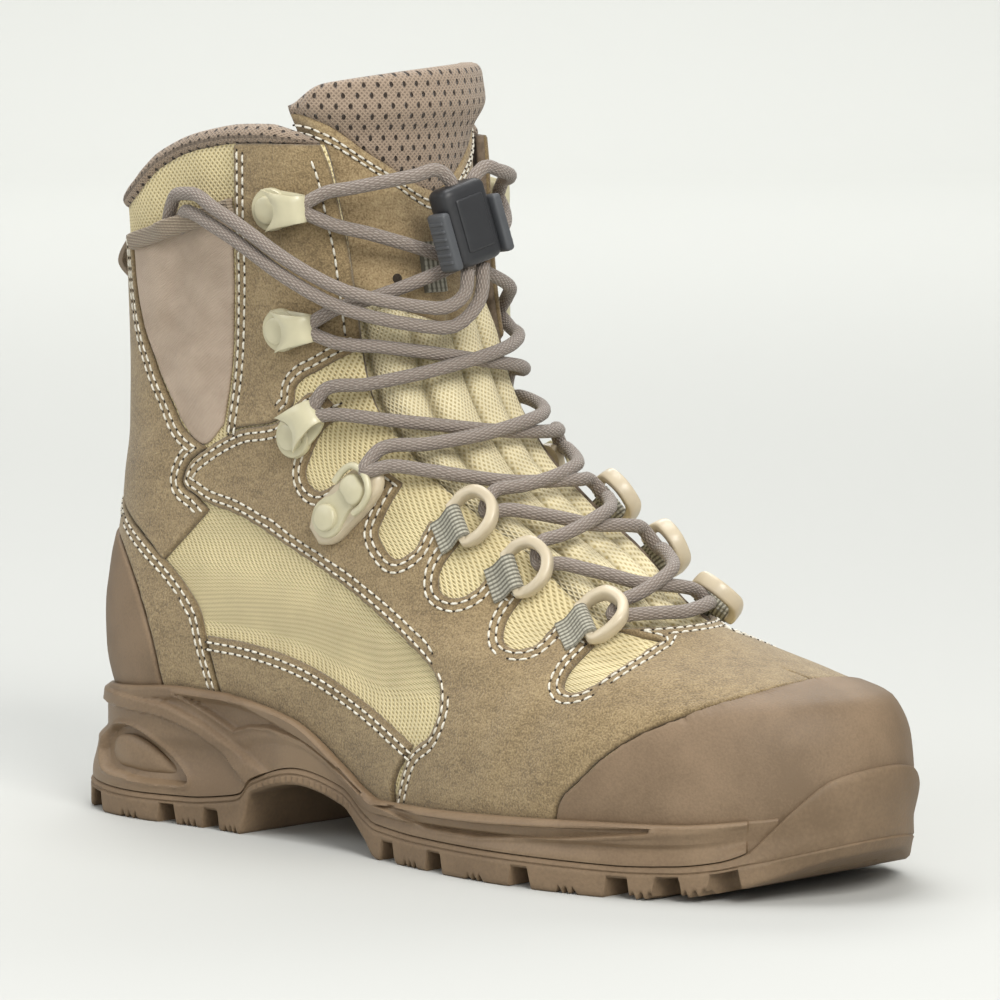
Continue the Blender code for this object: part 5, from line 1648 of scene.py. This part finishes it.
def tongue_part(name, low, high, grid, material, slot, nodes, crown=0.0):
    """Part of the tongue between two heights across it, with a rounded rim."""
    rows, across = grid
    t = np.tile(np.linspace(-1, 1, across), rows)
    share = np.repeat(np.linspace(0, 1, rows), across)
    tall = high(t) - low(t)
    height = low(t) + tall * share
    u = tongue_place(t, height)
    rim = np.minimum((1 - np.abs(t)) * RIM_HALF, np.minimum(share, 1 - share) * tall)
    round_off = np.sqrt(1 - (1 - np.clip(rim / RIM_ROUND, 0, 1)) ** 2)
    tuck = TUCK * ease((np.abs(t) - TUCK_SHARE) / TUCK_FADE) * ease((height - TUCK_START) / TUCK_RUN)
    face, back = tongue_face(height), tongue_back(height)
    centre = (face + back) / 2 - tuck
    half = (face - back) / 2 * (RIM_THIN + (1 - RIM_THIN) * round_off) + crown * ease(rim / CROWN_RUN)
    front = on_last(u, height, centre + half + tongue_folds(t, height))
    inner = on_last(u, height, centre - half)
    faces = grid_faces(rows, across)
    # Besides the edge, a mark that paints shade into the valleys between the knit's folds.
    marks = {"edge": rim, "fold_shade": FOLD_SHADE * tongue_valleys(t, height)}
    return sheet(name, front, inner, faces, material, slot, nodes, cloth_uv(u, height), marks)


# Neckline of the padded top, by share of the half width, and the lower edge of the suede face
TONGUE_SEAM = 197.0
SEAM_SHARES = np.array([0, 0.12, 0.45, 0.74, 0.9, 1])
SEAM_RISES = np.array([0, 1.5, 11, 21, 23.4, 23.6])
FACE_BOTTOM = 158.0
FACE_RISE = 12.0
NECK_TUCK = 2.0
NECK_SEAMS = (2.6, 4.8)
NECK_REACH = 0.94
NECK_POINTS = 160
NECK_LIFT = 0.15
PAD_CROWN = 1.0
CREST_FALL = 4.0
CREST_LEAN = 3.0
CREST_CORNER = 4.5
CORNER_START = 0.7
KNIT_GRID = (80, 121)
FACE_GRID = (34, 61)
PAD_GRID = (44, 71)


def tongue_seam(t):
    """Height of the neckline between the suede face and the padded top."""
    return TONGUE_SEAM + smooth(np.abs(t), SEAM_SHARES, SEAM_RISES)


def tongue_foot(t):
    """Lower end of the tongue."""
    return np.full(t.shape, TONGUE_BOTTOM)


def tongue_split(t):
    """Height at which the knit meets the suede face."""
    return FACE_BOTTOM + FACE_RISE * np.abs(t)


def tongue_neck(t):
    """Upper edge of the suede face, tucked under the padded top."""
    return tongue_seam(t) + NECK_TUCK


def tongue_crest(t):
    """Upper edge of the padded top: a little higher on the inner side, with rounded corners."""
    corner = ease((np.abs(t) - CORNER_START) / (1 - CORNER_START))
    return TONGUE_TOP - CREST_FALL * t * t + CREST_LEAN * t - CREST_CORNER * corner


def add_tongue():
    """Knitted lower tongue, suede face and padded top."""
    # Painted light: the knit and the suede face below use colours lightened against the throat's shade.
    tongue_part("tongue", tongue_foot, tongue_split, KNIT_GRID, LIT_KNIT, "tongue_fabric", ["tongue"])
    tongue_part("tongue_face", tongue_split, tongue_neck, FACE_GRID, LIT_TONGUE_SUEDE, "suede", [])
    pad = tongue_part("tongue_pad", tongue_seam, tongue_crest, PAD_GRID, MESH, "padded_mesh",
                      ["tongue_pad"], PAD_CROWN)
    t = np.linspace(-NECK_REACH, NECK_REACH, NECK_POINTS)
    for drop in NECK_SEAMS:
        height = tongue_seam(t) - drop
        row = np.column_stack([tongue_place(t, height), height])
        SEAMS.append((row, tongue_face(TONGUE_SEAM) + NECK_LIFT))


# Fittings
def fitting_frame(place, side, lift):
    """Start point and axes of a fitting: along it, across it, out of the upper."""
    base, tip = place
    u, height = locate(*base, side)
    start = on_last(u, height, lift)
    out = normal(u, height)
    way = on_last(*locate(*tip, side), lift) - start
    way = unit(way - out * np.dot(way, out))
    return start, way, np.cross(out, way), out


def moved(axes, step):
    """A fitting's axes moved along it."""
    return (axes[0] + axes[1] * step,) + axes[1:]


def in_frame(axes, spots):
    """Points given along, across and out of a fitting."""
    start, way, across, out = axes
    spots = np.asarray(spots, float)
    return start + spots[:, :1] * way + spots[:, 1:2] * across + spots[:, 2:3] * out


SWEEP_UP = (0.2, 0.3, 0.93)


def sweep(path, profile, guide=None):
    """Points of a profile carried along a path, with its sides kept towards a guide if there is one."""
    up = np.array(SWEEP_UP if guide is None else guide, float)
    rows = []
    for spot, way in zip(path, unit(np.gradient(path, axis=0))):
        side = unit(np.cross(up, way))
        lift = np.cross(way, side)
        if guide is None:
            up = lift
        rows.append(spot + profile[:, :1] * side + profile[:, 1:2] * lift)
    return np.concatenate(rows)


def round_profile(radius, sides):
    """A circle of points."""
    turn = 2 * np.pi * np.arange(sides) / sides
    return radius * np.column_stack([np.cos(turn), np.sin(turn)])


def square_profile(power, sides):
    """A circle of points drawn out towards a square."""
    wave = round_profile(1.0, sides)
    return np.sign(wave) * np.abs(wave) ** power


def plate_rows(axes, rings):
    """Points of rings in a fitting's plane, each lifted out of it."""
    return np.concatenate([
        in_frame(axes, np.column_stack([ring, np.full(len(ring), lift)])) for ring, lift in rings
    ])


DISC_SIDES = 28


def disc_solid(axes, rings):
    """A turned button: (radius, lift) rings about a fitting's axis out."""
    rows = [(round_profile(radius, DISC_SIDES), lift) for radius, lift in rings]
    return plate_rows(axes, rows), tube_faces(len(rows), DISC_SIDES)


def join(parts):
    """Several (points, faces) as one."""
    points, faces, shift = [], [], 0
    for spots, sides in parts:
        points.append(np.asarray(spots))
        faces += [[i + shift for i in face] for face in sides]
        shift += len(spots)
    return np.concatenate(points), faces


STRIP_ACROSS = (-1, -0.8, -0.5, -0.2, 0.2, 0.5, 0.8, 1)
STRIP_TOP = [(share, 0.5 if abs(share) == 1 else 1.0) for share in STRIP_ACROSS]
STRIP_SECTION = STRIP_TOP + [(share, -lift) for share, lift in STRIP_TOP[::-1]]


def strip(axes, centre, halves, thick, horn):
    """A bent metal strip: (along, out) line, half width at each point, thickness, hollow of its end."""
    line = soft_line(centre, 0.5)
    run = run_along(line)
    knots = run_along(np.array(centre))
    half = np.interp(run, knots * run[-1] / knots[-1], halves)
    tangent = unit(np.gradient(line, axis=0))
    face = np.column_stack([-tangent[:, 1], tangent[:, 0]])
    hollow = horn * ease((run / run[-1] - 0.7) / 0.3)
    rows = []
    for spot, up, wide, dip in zip(line, face, half, hollow):
        for share, lift in STRIP_SECTION:
            middle = spot + up * lift * thick / 2
            rows.append((middle[0] - dip * share * share, share * wide, middle[1]))
    return in_frame(axes, rows), tube_faces(len(line), len(STRIP_SECTION))


# Lacing hook: (radius, lift) rings of base and rivet, (along, out) line of the bill and its half widths
HOOK_SHIFT = -1.6
HOOK_BASE = ((6.2, -0.9), (6.6, -0.2), (6.6, 1.3), (6.2, 1.8), (4.9, 1.7))
HOOK_RIVET = ((4.3, 1.2), (4.3, 3.2), (4.1, 3.6), (3.6, 3.8), (0.6, 3.9))
HOOK_BILL = (
    (-3, 0.6), (4, 0.6), (10.5, 0.7), (13.2, 2.0), (13.8, 4.2), (12.2, 6.3), (8.5, 7.0), (5.2, 6.0),
)
HOOK_HALVES = (6.2, 5.6, 4.4, 4.0, 4.0, 4.2, 5.2, 6.4)
HOOK_THICK = 1.5
HOOK_HOLLOW = 4.2


def add_hook(name, place, side):
    """Open lacing hook: round base, rivet, and a bill folded back over the lace, hollow round the rivet."""
    axes = moved(fitting_frame(place, side, FITTING_LIFT), HOOK_SHIFT)
    bill = strip(axes, HOOK_BILL, HOOK_HALVES, HOOK_THICK, HOOK_HOLLOW)
    points, faces = join([disc_solid(axes, HOOK_BASE), disc_solid(axes, HOOK_RIVET), bill])
    piece(name, points, faces, ENAMEL, "hook_enamel", [name], sharp=45)


def slab(axes, outline, rings):
    """A plate with shaped edges: half outline (along, across), then (scale, lift) rings."""
    line = soft_line(outline, 0.7)
    loop = np.concatenate([line, (line * np.array([1, -1]))[::-1][1:-1]])
    middle = loop.mean(0)
    rows = [(middle + (loop - middle) * scale, lift) for scale, lift in rings]
    return plate_rows(axes, rows), tube_faces(len(rows), len(loop))


# Lock hook: half outlines (along, across) with (scale, lift) rings of its plate, clamp and pad, and its wire
PLATE_OUTLINE = (
    (-11, 0), (-11, 3.2), (-11, 3.2), (-7, 6.2), (2, 6.9), (12, 6.6), (18, 5.2), (20.8, 2.4), (21.2, 0),
)
PLATE_RINGS = ((0.97, -0.8), (1.0, 0.3), (0.98, 1.6), (0.9, 2.6), (0.84, 2.7))
CLAMP_SHIFT = -2.0
CLAMP_OUTLINE = ((-6.3, 0), (-5.6, 3), (-3, 5.4), (0, 6.1), (3.5, 5.2), (8, 3.9), (12, 3.9), (12.4, 0))
CLAMP_RINGS = ((0.98, 2.3), (1.0, 2.9), (0.98, 3.6), (0.94, 3.9))
CLAMP_RIVET = ((4.2, 3.6), (4.2, 5.0), (4.0, 5.4), (3.5, 5.6), (0.6, 5.7))
PAD_SHIFT = 11.5
PAD_OUTLINE = ((-3.6, 0), (-3.6, 3), (-3, 3.8), (2.8, 3.8), (3.8, 2.8), (4, 0))
PAD_RINGS = ((0.97, 2.6), (1.0, 3.4), (1.0, 4.6), (0.93, 5.2), (0.8, 5.4))
WIRE_LINE = ((7.5, -6.2), (12, -6.6), (16.5, -5.2), (18.6, 0), (16.5, 5.2), (12, 6.6), (7.5, 6.2))
WIRE_RADIUS = 1.1
WIRE_SIDES = 10
WIRE_LIFT = 4.4
WIRE_RISE = 0.8


def add_lock_hook(side, word):
    """Lock hook: base plate, riveted clamp with a square pad, and a wire loop that the lace runs round."""
    axes = fitting_frame(LOCK_HOOK, side, FITTING_LIFT)
    name = "lock_plate_" + word
    piece(name, *slab(axes, PLATE_OUTLINE, PLATE_RINGS), RING, "ring_plastic", [name], sharp=40)
    rear = moved(axes, CLAMP_SHIFT)
    clamp = slab(rear, CLAMP_OUTLINE, CLAMP_RINGS)
    rivet = disc_solid(rear, CLAMP_RIVET)
    pad = slab(moved(axes, PAD_SHIFT), PAD_OUTLINE, PAD_RINGS)
    loop = soft_line(WIRE_LINE, 0.6)
    spots = np.column_stack([loop, WIRE_LIFT + WIRE_RISE * ease((loop[:, 0] - 8) / 10)])
    wire = sweep(in_frame(axes, spots), round_profile(WIRE_RADIUS, WIRE_SIDES), axes[3])
    points, faces = join([clamp, rivet, pad, (wire, tube_faces(len(loop), WIRE_SIDES))])
    name = "lock_band_" + word
    piece(name, points, faces, ENAMEL, "hook_enamel", [name], sharp=45)


# D-ring: (along, across) line, rise towards the throat, and points round its section
RING_LINE = (
    (0, -6.4), (0, 6.4), (0, 6.4), (4.5, 7.3), (9.2, 5.8), (12, 0), (9.2, -5.8), (4.5, -7.3), (0, -6.4),
)
RING_RISE = 3.4
RISE_RUN = 10.0
RING_SIDES = 16
RING_SQUARE = 0.5
BROAD_RUN = 4.0


def add_ring(name, place, side):
    """Moulded D-ring: a straight bar in the webbing and a broad arch that stands up towards the throat."""
    axes = fitting_frame(place, side, RING_LIFT)
    line = soft_line(RING_LINE, 0.6)[:-1]
    path = in_frame(axes, np.column_stack([line, RING_RISE * ease(line[:, 0] / RISE_RUN)]))
    tangent = unit(np.roll(path, -1, axis=0) - np.roll(path, 1, axis=0))
    broad = ease(line[:, :1] / BROAD_RUN)
    spoke = np.cross(tangent, axes[3]) * RING_WIRE * (0.95 + 0.1 * broad)
    rise = axes[3] * RING_WIRE * (1.0 + 0.5 * broad)
    rows = [path + spoke * wide + rise * tall for wide, tall in square_profile(RING_SQUARE, RING_SIDES)]
    points = np.stack(rows, axis=1).reshape(-1, 3)
    faces = np.array(grid_faces(len(path) + 1, RING_SIDES, closed=True)) % len(points)
    piece(name, points, faces.tolist(), RING, "ring_plastic", [name])


# Webbing under a ring: (along, out) line, and its thickness there
WEB_LINE = ((-8, -0.9), (-5, 0.0), (-2.6, 2.4), (-0.8, 4.2), (1.4, 4.2), (2.4, 2.2), (0.5, 0.4))
WEB_STEP = 0.5
WEB_FINE = 1.0


def add_webbing(name, place, side):
    """Checked webbing loop that holds a D-ring: over the ring's bar and back under the finger."""
    axes = fitting_frame(place, side, FITTING_LIFT)
    line = soft_line(WEB_LINE, WEB_STEP)
    half, fine = WEB_HALF, WEB_FINE / 2
    corners = ((-half, -fine), (-half, fine), (half, fine), (half, -fine))
    rows = [(reach, across, out + lift) for reach, out in line for across, lift in corners]
    run = np.repeat(np.arange(len(line)) * WEB_STEP, len(corners))
    uv = np.column_stack([np.array(rows)[:, 1], run])
    faces = tube_faces(len(line), len(corners))
    piece(name, in_frame(axes, rows), faces, WEB, "webbing", [name], uv, sharp=40)


def add_fittings():
    """Rings, webbing, hooks and lock hooks of both sides."""
    for side, word in SIDES:
        for i, place in enumerate(RINGS):
            add_ring(f"d_ring_{word}_{i + 1}", place, side)
            add_webbing(f"ring_webbing_{word}_{i + 1}", place, side)
        for i, place in enumerate(HOOKS):
            add_hook(f"hook_{word}_{i + 1}", place, side)
        add_lock_hook(side, word)


# Lace: points of a crossing, how far out it lies and goes over or under, and the way into the lock
LACE_SHARES = (0.15, 0.3, 0.5, 0.7, 0.85)
LACE_HEIGHT = 4.4
LACE_SIDES = 12
LACE_STEP = 1.2
FREE_SHARE = 0.3
OVER = 1.7
UNDER = -1.9
OVER_WIDTH = 0.22
BAR_DROP = -1.0
TOP_SHARES = (0.25, 0.5, 0.75, 0.95)
LOCK_ABOVE = (0.03, 5)
LOCK_ENTRY = ((0.02, 1), (0.015, -4))
TAIL_STEPS = 40

# The lace through a ring, the lock hook and a hook, from below to above: along, across, out of the last
RING_PASS = ((13.4, -2.4, 4.3), (8.0, 0.0, 3.9), (11.0, 5.0, 4.2))
LOCK_PASS = ((22.5, -3.2, 7.4), (16.8, 0.0, 9.6), (22.0, 3.8, 8.0))
HOOK_PASS = ((15.5, -4.2, 5.7), (9.8, 0.0, 6.2), (15.5, 4.2, 5.7))
LACE_STOPS = [(place, RING_PASS) for place in RINGS] + [(LOCK_HOOK, LOCK_PASS)]
LACE_STOPS += [(place, HOOK_PASS) for place in HOOKS]

# Step in height that tells the slope of the upper at a fitting
FITTING_RISE = 0.5


def surface_spot(place, side, reach, across):
    """(u, level) of a point given along and across a fitting."""
    way, over = fitting_frame(place, side, 0.0)[1:3]
    return slide(np.array([locate(*place[0], side)]), way * reach + over * across, FITTING_RISE)[0]


def through(i, side):
    """(u, level, out) of the lace through one ring or hook, from below it to above it."""
    place, spots = LACE_STOPS[i]
    return [np.append(surface_spot(place, side, reach, -side * across), out) for reach, across, out in spots]


def crossing(first, second, lift):
    """(u, level, out) of the lace over the tongue between two fittings, over or under the other strand."""
    spots = []
    for share in LACE_SHARES:
        spot = first + (second - first) * share
        free = ease(min(share, 1 - share) / FREE_SHARE)
        spot[2] += (LACE_HEIGHT - spot[2]) * free + lift * bump(share, 0.5, OVER_WIDTH)
        spots.append(spot)
    return spots


def lace_path(side):
    """Half of the lace from the first ring on one side up to the cord lock."""
    path = through(0, side)
    for i in range(1, len(LACE_STOPS)):
        spots = through(i, -side)
        path += crossing(path[-1], spots[0], OVER if side == LATERAL else UNDER) + spots
        side = -side
    top = CORD_LOCK_LEVEL + CORD_LOCK_SIZE[2] / 2
    goal, *entry = (
        np.array([CORD_LOCK_TURN + side * turn, top + lift, CORD_LOCK_OUT])
        for turn, lift in (LOCK_ABOVE,) + LOCK_ENTRY
    )
    last = path[-1]
    path += [last + (goal - last) * np.array([share, share, ease(share)]) for share in TOP_SHARES]
    return path + entry


def braided(name, line, nodes):
    """A round braided lace along a line in millimetres."""
    tube = sweep(line, round_profile(LACE_RADIUS, LACE_SIDES))
    turn = np.abs(np.arange(LACE_SIDES) * 2 - LACE_SIDES) * (2 * math.pi * LACE_RADIUS / LACE_SIDES)
    uv = np.column_stack([np.tile(turn, len(line)), np.repeat(run_along(line), LACE_SIDES)])
    return piece(name, tube, tube_faces(len(line), LACE_SIDES), BRAID, "lace", nodes, uv)


def add_lace():
    """The lace through every ring and hook, from the bottom bar up to the lock."""
    left = lace_path(LATERAL)
    right = lace_path(MEDIAL)
    path = left[::-1] + crossing(left[0], right[0], BAR_DROP) + right
    line = soft_line([on_last(*spot) for spot in path], LACE_STEP)
    nodes = ["lace_bar"] + [f"lace_cross_{i}" for i in range(1, 7)] + ["lace_top_lateral", "lace_top_medial"]
    braided("lace", line, nodes)


def tail_line(tail):
    """Centre line of a free lace end, in millimetres."""
    knots = np.array(tail, float)
    where = np.arange(len(knots), dtype=float)
    fine = np.linspace(0, len(knots) - 1, TAIL_STEPS)
    return np.column_stack([smooth(fine, where, knots[:, i]) for i in range(3)])


def add_lace_ends():
    """The two free ends that sweep back into the pocket."""
    for name, tail in TAILS.items():
        line = tail_line(tail)
        item = braided(name, line, [name])


def rounded_block(centre, axes, size, corner):
    """Points and faces of a block with rounded edges."""
    half = np.array(size, float) / 2
    outline = square_profile(BLOCK_SQUARE, BLOCK_SIDES) * half[:2]
    turns = np.linspace(0, math.pi / 2, BLOCK_ENDS)
    ends = [(corner * (1 - math.cos(a)), corner * (1 - math.sin(a))) for a in turns]
    levels = [(lift - half[2], cut) for lift, cut in ends]
    levels += [(z, 0.0) for z in np.linspace(corner - half[2], half[2] - corner, 9)[1:-1]]
    levels += [(half[2] - lift, cut) for lift, cut in ends[::-1]]
    rows = []
    for z, cut in levels:
        ring = outline * (1 - cut / half[:2])
        rows.append(centre + ring[:, :1] * axes[0] + ring[:, 1:2] * axes[1] + z * axes[2])
    return np.concatenate(rows), tube_faces(len(rows), BLOCK_SIDES)


# Blocks of the cord lock: points round and over a rounded end, corners, raised pad, arms and their ribs
BLOCK_SIDES = 48
BLOCK_SQUARE = 0.45
BLOCK_ENDS = 6
LOCK_CORNER = 2.6
LOCK_PAD = (10.54, 1.6, 16.5)
LOCK_PAD_CORNER = 0.7
LOCK_PAD_SINK = 0.2
ARM_DROP = 3.0
ARM_FORWARD = 1.5
ARM_CORNER = 1.2
RIB_COUNT = 6
RIB_MARGIN = 3.0
RIB_SINK = 0.3
RIB_SIZE = (1.4, 6.4, 1.2)
RIB_CORNER = 0.4


def add_cord_lock():
    """Cord lock: dark body with a plain raised pad, and two ribbed grey arms."""
    centre = on_last(CORD_LOCK_TURN, CORD_LOCK_LEVEL, CORD_LOCK_OUT)
    out = normal(CORD_LOCK_TURN, CORD_LOCK_LEVEL)
    turn = math.radians(CORD_LOCK_TILT)
    flat = unit(np.cross(UPWARD, out))
    up = np.cross(out, flat)
    side = flat * math.cos(turn) + up * math.sin(turn)
    top = up * math.cos(turn) - flat * math.sin(turn)
    axes = (side, out, top)
    wide, deep, _ = CORD_LOCK_SIZE
    body = rounded_block(centre, axes, CORD_LOCK_SIZE, LOCK_CORNER)
    pad = rounded_block(centre + out * (deep / 2 - LOCK_PAD_SINK), axes, LOCK_PAD, LOCK_PAD_CORNER)
    piece("cord_lock", *join([body, pad]), LOCK, "lock_plastic", ["cord_lock"])
    arm_wide, _, arm_tall = LOCK_ARM_SIZE
    shift = (wide + arm_wide) / 2 + GAP
    reach = arm_tall / 2 - RIB_MARGIN
    for sign, word in SIDES:
        middle = centre + side * sign * shift - top * ARM_DROP + out * ARM_FORWARD
        parts = [rounded_block(middle, axes, LOCK_ARM_SIZE, ARM_CORNER)]
        for z in np.linspace(-reach, reach, RIB_COUNT):
            rib = middle + top * z + side * sign * (arm_wide / 2 - RIB_SINK)
            parts.append(rounded_block(rib, axes, RIB_SIZE, RIB_CORNER))
        piece("lock_arm_" + word, *join(parts), ARM, "lock_arm_plastic", ["lock_arm_" + word])


# Pull loop, tongue tab as (u, level) ranges with its rows and columns, and dark discs of painted shade for
# two punched holes in the tongue
UPWARD = np.array([0, 0, 1.0])
PULL_COLUMNS = 15
PULL_REACH = 200.0
TAB_TURNS = np.linspace(-0.055, -0.005, 8)
TAB_LEVELS = np.linspace(168, 183, 12)
TAB_SCALE = 120.0
TONGUE_HOLES = ((-0.11, 172.5), (0.11, 172.5))
HOLE_RINGS = ((1.5, -0.4), (1.5, 0.1), (1.4, 0.15), (0.3, 0.15))


def add_tape(name, u, z, low, faces, material, across):
    """A sheet of tape beside the upper, from its (u, level) points and the distance of its inner face."""
    outer = on_last(u, z, low + WEB_THICK)
    uv = np.column_stack([across, z])
    sheet(name, outer, on_last(u, z, low), faces, material, "webbing", [name], uv, sharp=50)


def add_loops():
    """Pull loop at the back, the webbing tab on the tongue, and dark discs of painted shade for the tongue's
    punched holes.
    """
    line = soft_line(PULL_LOOP, 0.6)
    across = np.tile(np.linspace(-1, 1, PULL_COLUMNS), len(line)) * PULL_HALF
    out, z = np.repeat(line, PULL_COLUMNS, axis=0).T
    u = 1.0 + across / PULL_REACH
    add_tape("pull_loop", u, z, out, grid_faces(len(line), PULL_COLUMNS), HEM, across)
    face = -(WALL + TONGUE_CLEAR)
    z, u = (part.ravel() for part in np.meshgrid(TAB_LEVELS, TAB_TURNS, indexing="ij"))
    faces = grid_faces(len(TAB_LEVELS), len(TAB_TURNS))
    add_tape("tongue_tab", u, z, face + GAP, faces, WEB, u * TAB_SCALE)
    # Painted shade: the punched holes are dark discs laid on the tongue's face, not cut through it.
    holes = []
    for u, z in TONGUE_HOLES:
        out = normal(u, z)
        over = unit(np.cross(out, UPWARD))
        holes.append(disc_solid((on_last(u, z, face), over, np.cross(over, out), out), HOLE_RINGS))
    piece("tongue_hole_shade", *join(holes), HOLE_SHADE, "suede", ())


# Hem of the pocket, and how far the lace ends push it out, at which x and over what width
HEM_DEPTH = 5.0
HEM_LEAN = 2.0
HEM_THICK = 1.5
HEM_THIN = 0.3
HEM_ROUND = 1.4
HEM_ROWS = 16
HEM_OUT = GAP + 1.5
HEM_IN = GAP + 0.9
HEM_PUSH = 7.0
PUSH_X = -92.0
PUSH_WIDTH = 11.0
PUSH_FADE = 0.3
PUSH_INSIDE = 0.85


def add_hem():
    """Ribbed hem along the pocket's top, pushed out where the lace ends tuck in."""
    top = spread(to_skin(soft_line(POCKET[:3]), LATERAL), 1.0)
    low = slide(top, (HEM_LEAN, 0.0, -HEM_DEPTH))
    share = np.repeat(np.linspace(0, 1, HEM_ROWS), len(top))
    upper = np.tile(top, (HEM_ROWS, 1))
    u, height = (upper + (np.tile(low, (HEM_ROWS, 1)) - upper) * share[:, None]).T
    rim = np.minimum(share, 1 - share) * HEM_DEPTH
    round_off = np.sqrt(1 - (1 - np.clip(rim / HEM_ROUND, 0, 1)) ** 2)
    push = HEM_PUSH * bump(on_last(u, height)[:, 0], PUSH_X, PUSH_WIDTH) * (1 - PUSH_FADE * share)
    outer = on_last(u, height, HEM_OUT + HEM_THICK * (HEM_THIN + (1 - HEM_THIN) * round_off) + push)
    inner = on_last(u, height, HEM_IN + push * PUSH_INSIDE)
    faces = grid_faces(HEM_ROWS, len(top))
    uv = cloth_uv(u, height)[:, ::-1]
    sheet("pocket_hem", outer, inner, faces, HEM, "webbing", (), uv, sharp=60)


# Stage, light and camera, in metres; a light has a place, an aim, a size, a power and a colour
FLOOR_FRONT = 2.6
FLOOR_BACK = -3.2
FLOOR_BEND = 0.5
FLOOR_HALF = 4.0
WALL_TOP = 2.6
FLOOR_YAW = 44.0
FLOOR_COLOUR = (0.55, 0.557, 0.539, 1)
WORLD_COLOUR = (1.0, 1.0, 0.98, 1)
WORLD_STRENGTH = 0.36
MIDDLE = (0.0, 0.0, 0.12)
LIGHTS = {
    "key": ((1.35, -0.55, 1.2), MIDDLE, 0.8, 24, (1.0, 0.985, 0.95)),
    "front": ((1.2, -1.5, 0.75), (0.0, 0.0, 0.17), 0.7, 6, (1.0, 0.99, 0.97)),
    "left": ((-1.0, -1.2, 0.9), MIDDLE, 1.0, 7, (0.98, 0.99, 1.0)),
    "top": ((-0.2, 0.0, 1.7), MIDDLE, 0.9, 14, (1.0, 1.0, 1.0)),
    "backdrop": ((-2.0, 2.0, 2.4), (-2.2, 2.2, 0.0), 2.4, 90, (1.0, 1.0, 0.98)),
}


def add_floor():
    """Pale floor that curves up behind the boot."""
    line = [(FLOOR_FRONT, 0.0)]
    for a in np.linspace(0, math.pi / 2, 20):
        line.append((FLOOR_BACK - FLOOR_BEND * math.sin(a), FLOOR_BEND * (1 - math.cos(a))))
    line.append((FLOOR_BACK - FLOOR_BEND, WALL_TOP))
    yaw = math.radians(FLOOR_YAW)
    forward = np.array([math.sin(yaw), -math.cos(yaw), 0.0])
    right = np.array([math.cos(yaw), math.sin(yaw), 0.0])
    points = [forward * reach + right * side + UPWARD * z
              for reach, z in line for side in (-FLOOR_HALF, FLOOR_HALF)]
    mesh = bpy.data.meshes.new("floor")
    mesh.from_pydata([tuple(p) for p in points], [], grid_faces(len(line), 2))
    mesh.polygons.foreach_set("use_smooth", np.ones(len(mesh.polygons), bool))
    paper = Paint("studio_paper", 0.95, Base_Color=FLOOR_COLOUR, Specular_IOR_Level=0.1)
    mesh.materials.append(paper.material)
    link(bpy.data.objects.new("floor", mesh))


def set_facing(item, place, aim):
    """An object set at a place and turned towards another."""
    item.location = place
    item.rotation_euler = (Vector(aim) - Vector(place)).to_track_quat("-Z", "Y").to_euler()
    return link(item)


def add_studio():
    """World light and soft square lights."""
    world = bpy.data.worlds.new("studio")
    bpy.context.scene.world = world
    world.use_nodes = True
    back = world.node_tree.nodes["Background"]
    back.inputs["Color"].default_value = WORLD_COLOUR
    back.inputs["Strength"].default_value = WORLD_STRENGTH
    for name, (place, aim, size, power, colour) in LIGHTS.items():
        light = bpy.data.lights.new(name, "AREA")
        light.size = size
        light.energy = power
        light.color = colour
        set_facing(bpy.data.objects.new(name, light), place, aim)


def add_camera():
    """Camera at the photo's angle."""
    data = bpy.data.cameras.new("camera")
    data.lens = LENS
    data.sensor_width = SENSOR
    bpy.context.scene.camera = set_facing(bpy.data.objects.new("camera", data), EYE_POINT, AIM_POINT)


def main():
    """Camera and cords first, then the boot from the upper outward, the stage and the light."""
    add_camera()
    add_lace_ends()
    add_lace()
    add_wall()
    add_toe()
    add_heel()
    add_sides()
    add_hem()
    add_tongue()
    add_collar()
    add_stitches()
    add_midsole()
    add_outsole()
    add_insole()
    add_lenses()
    add_fittings()
    add_cord_lock()
    add_loops()
    add_floor()
    add_studio()
    bpy.context.scene.view_settings.view_transform = "Standard"


main()
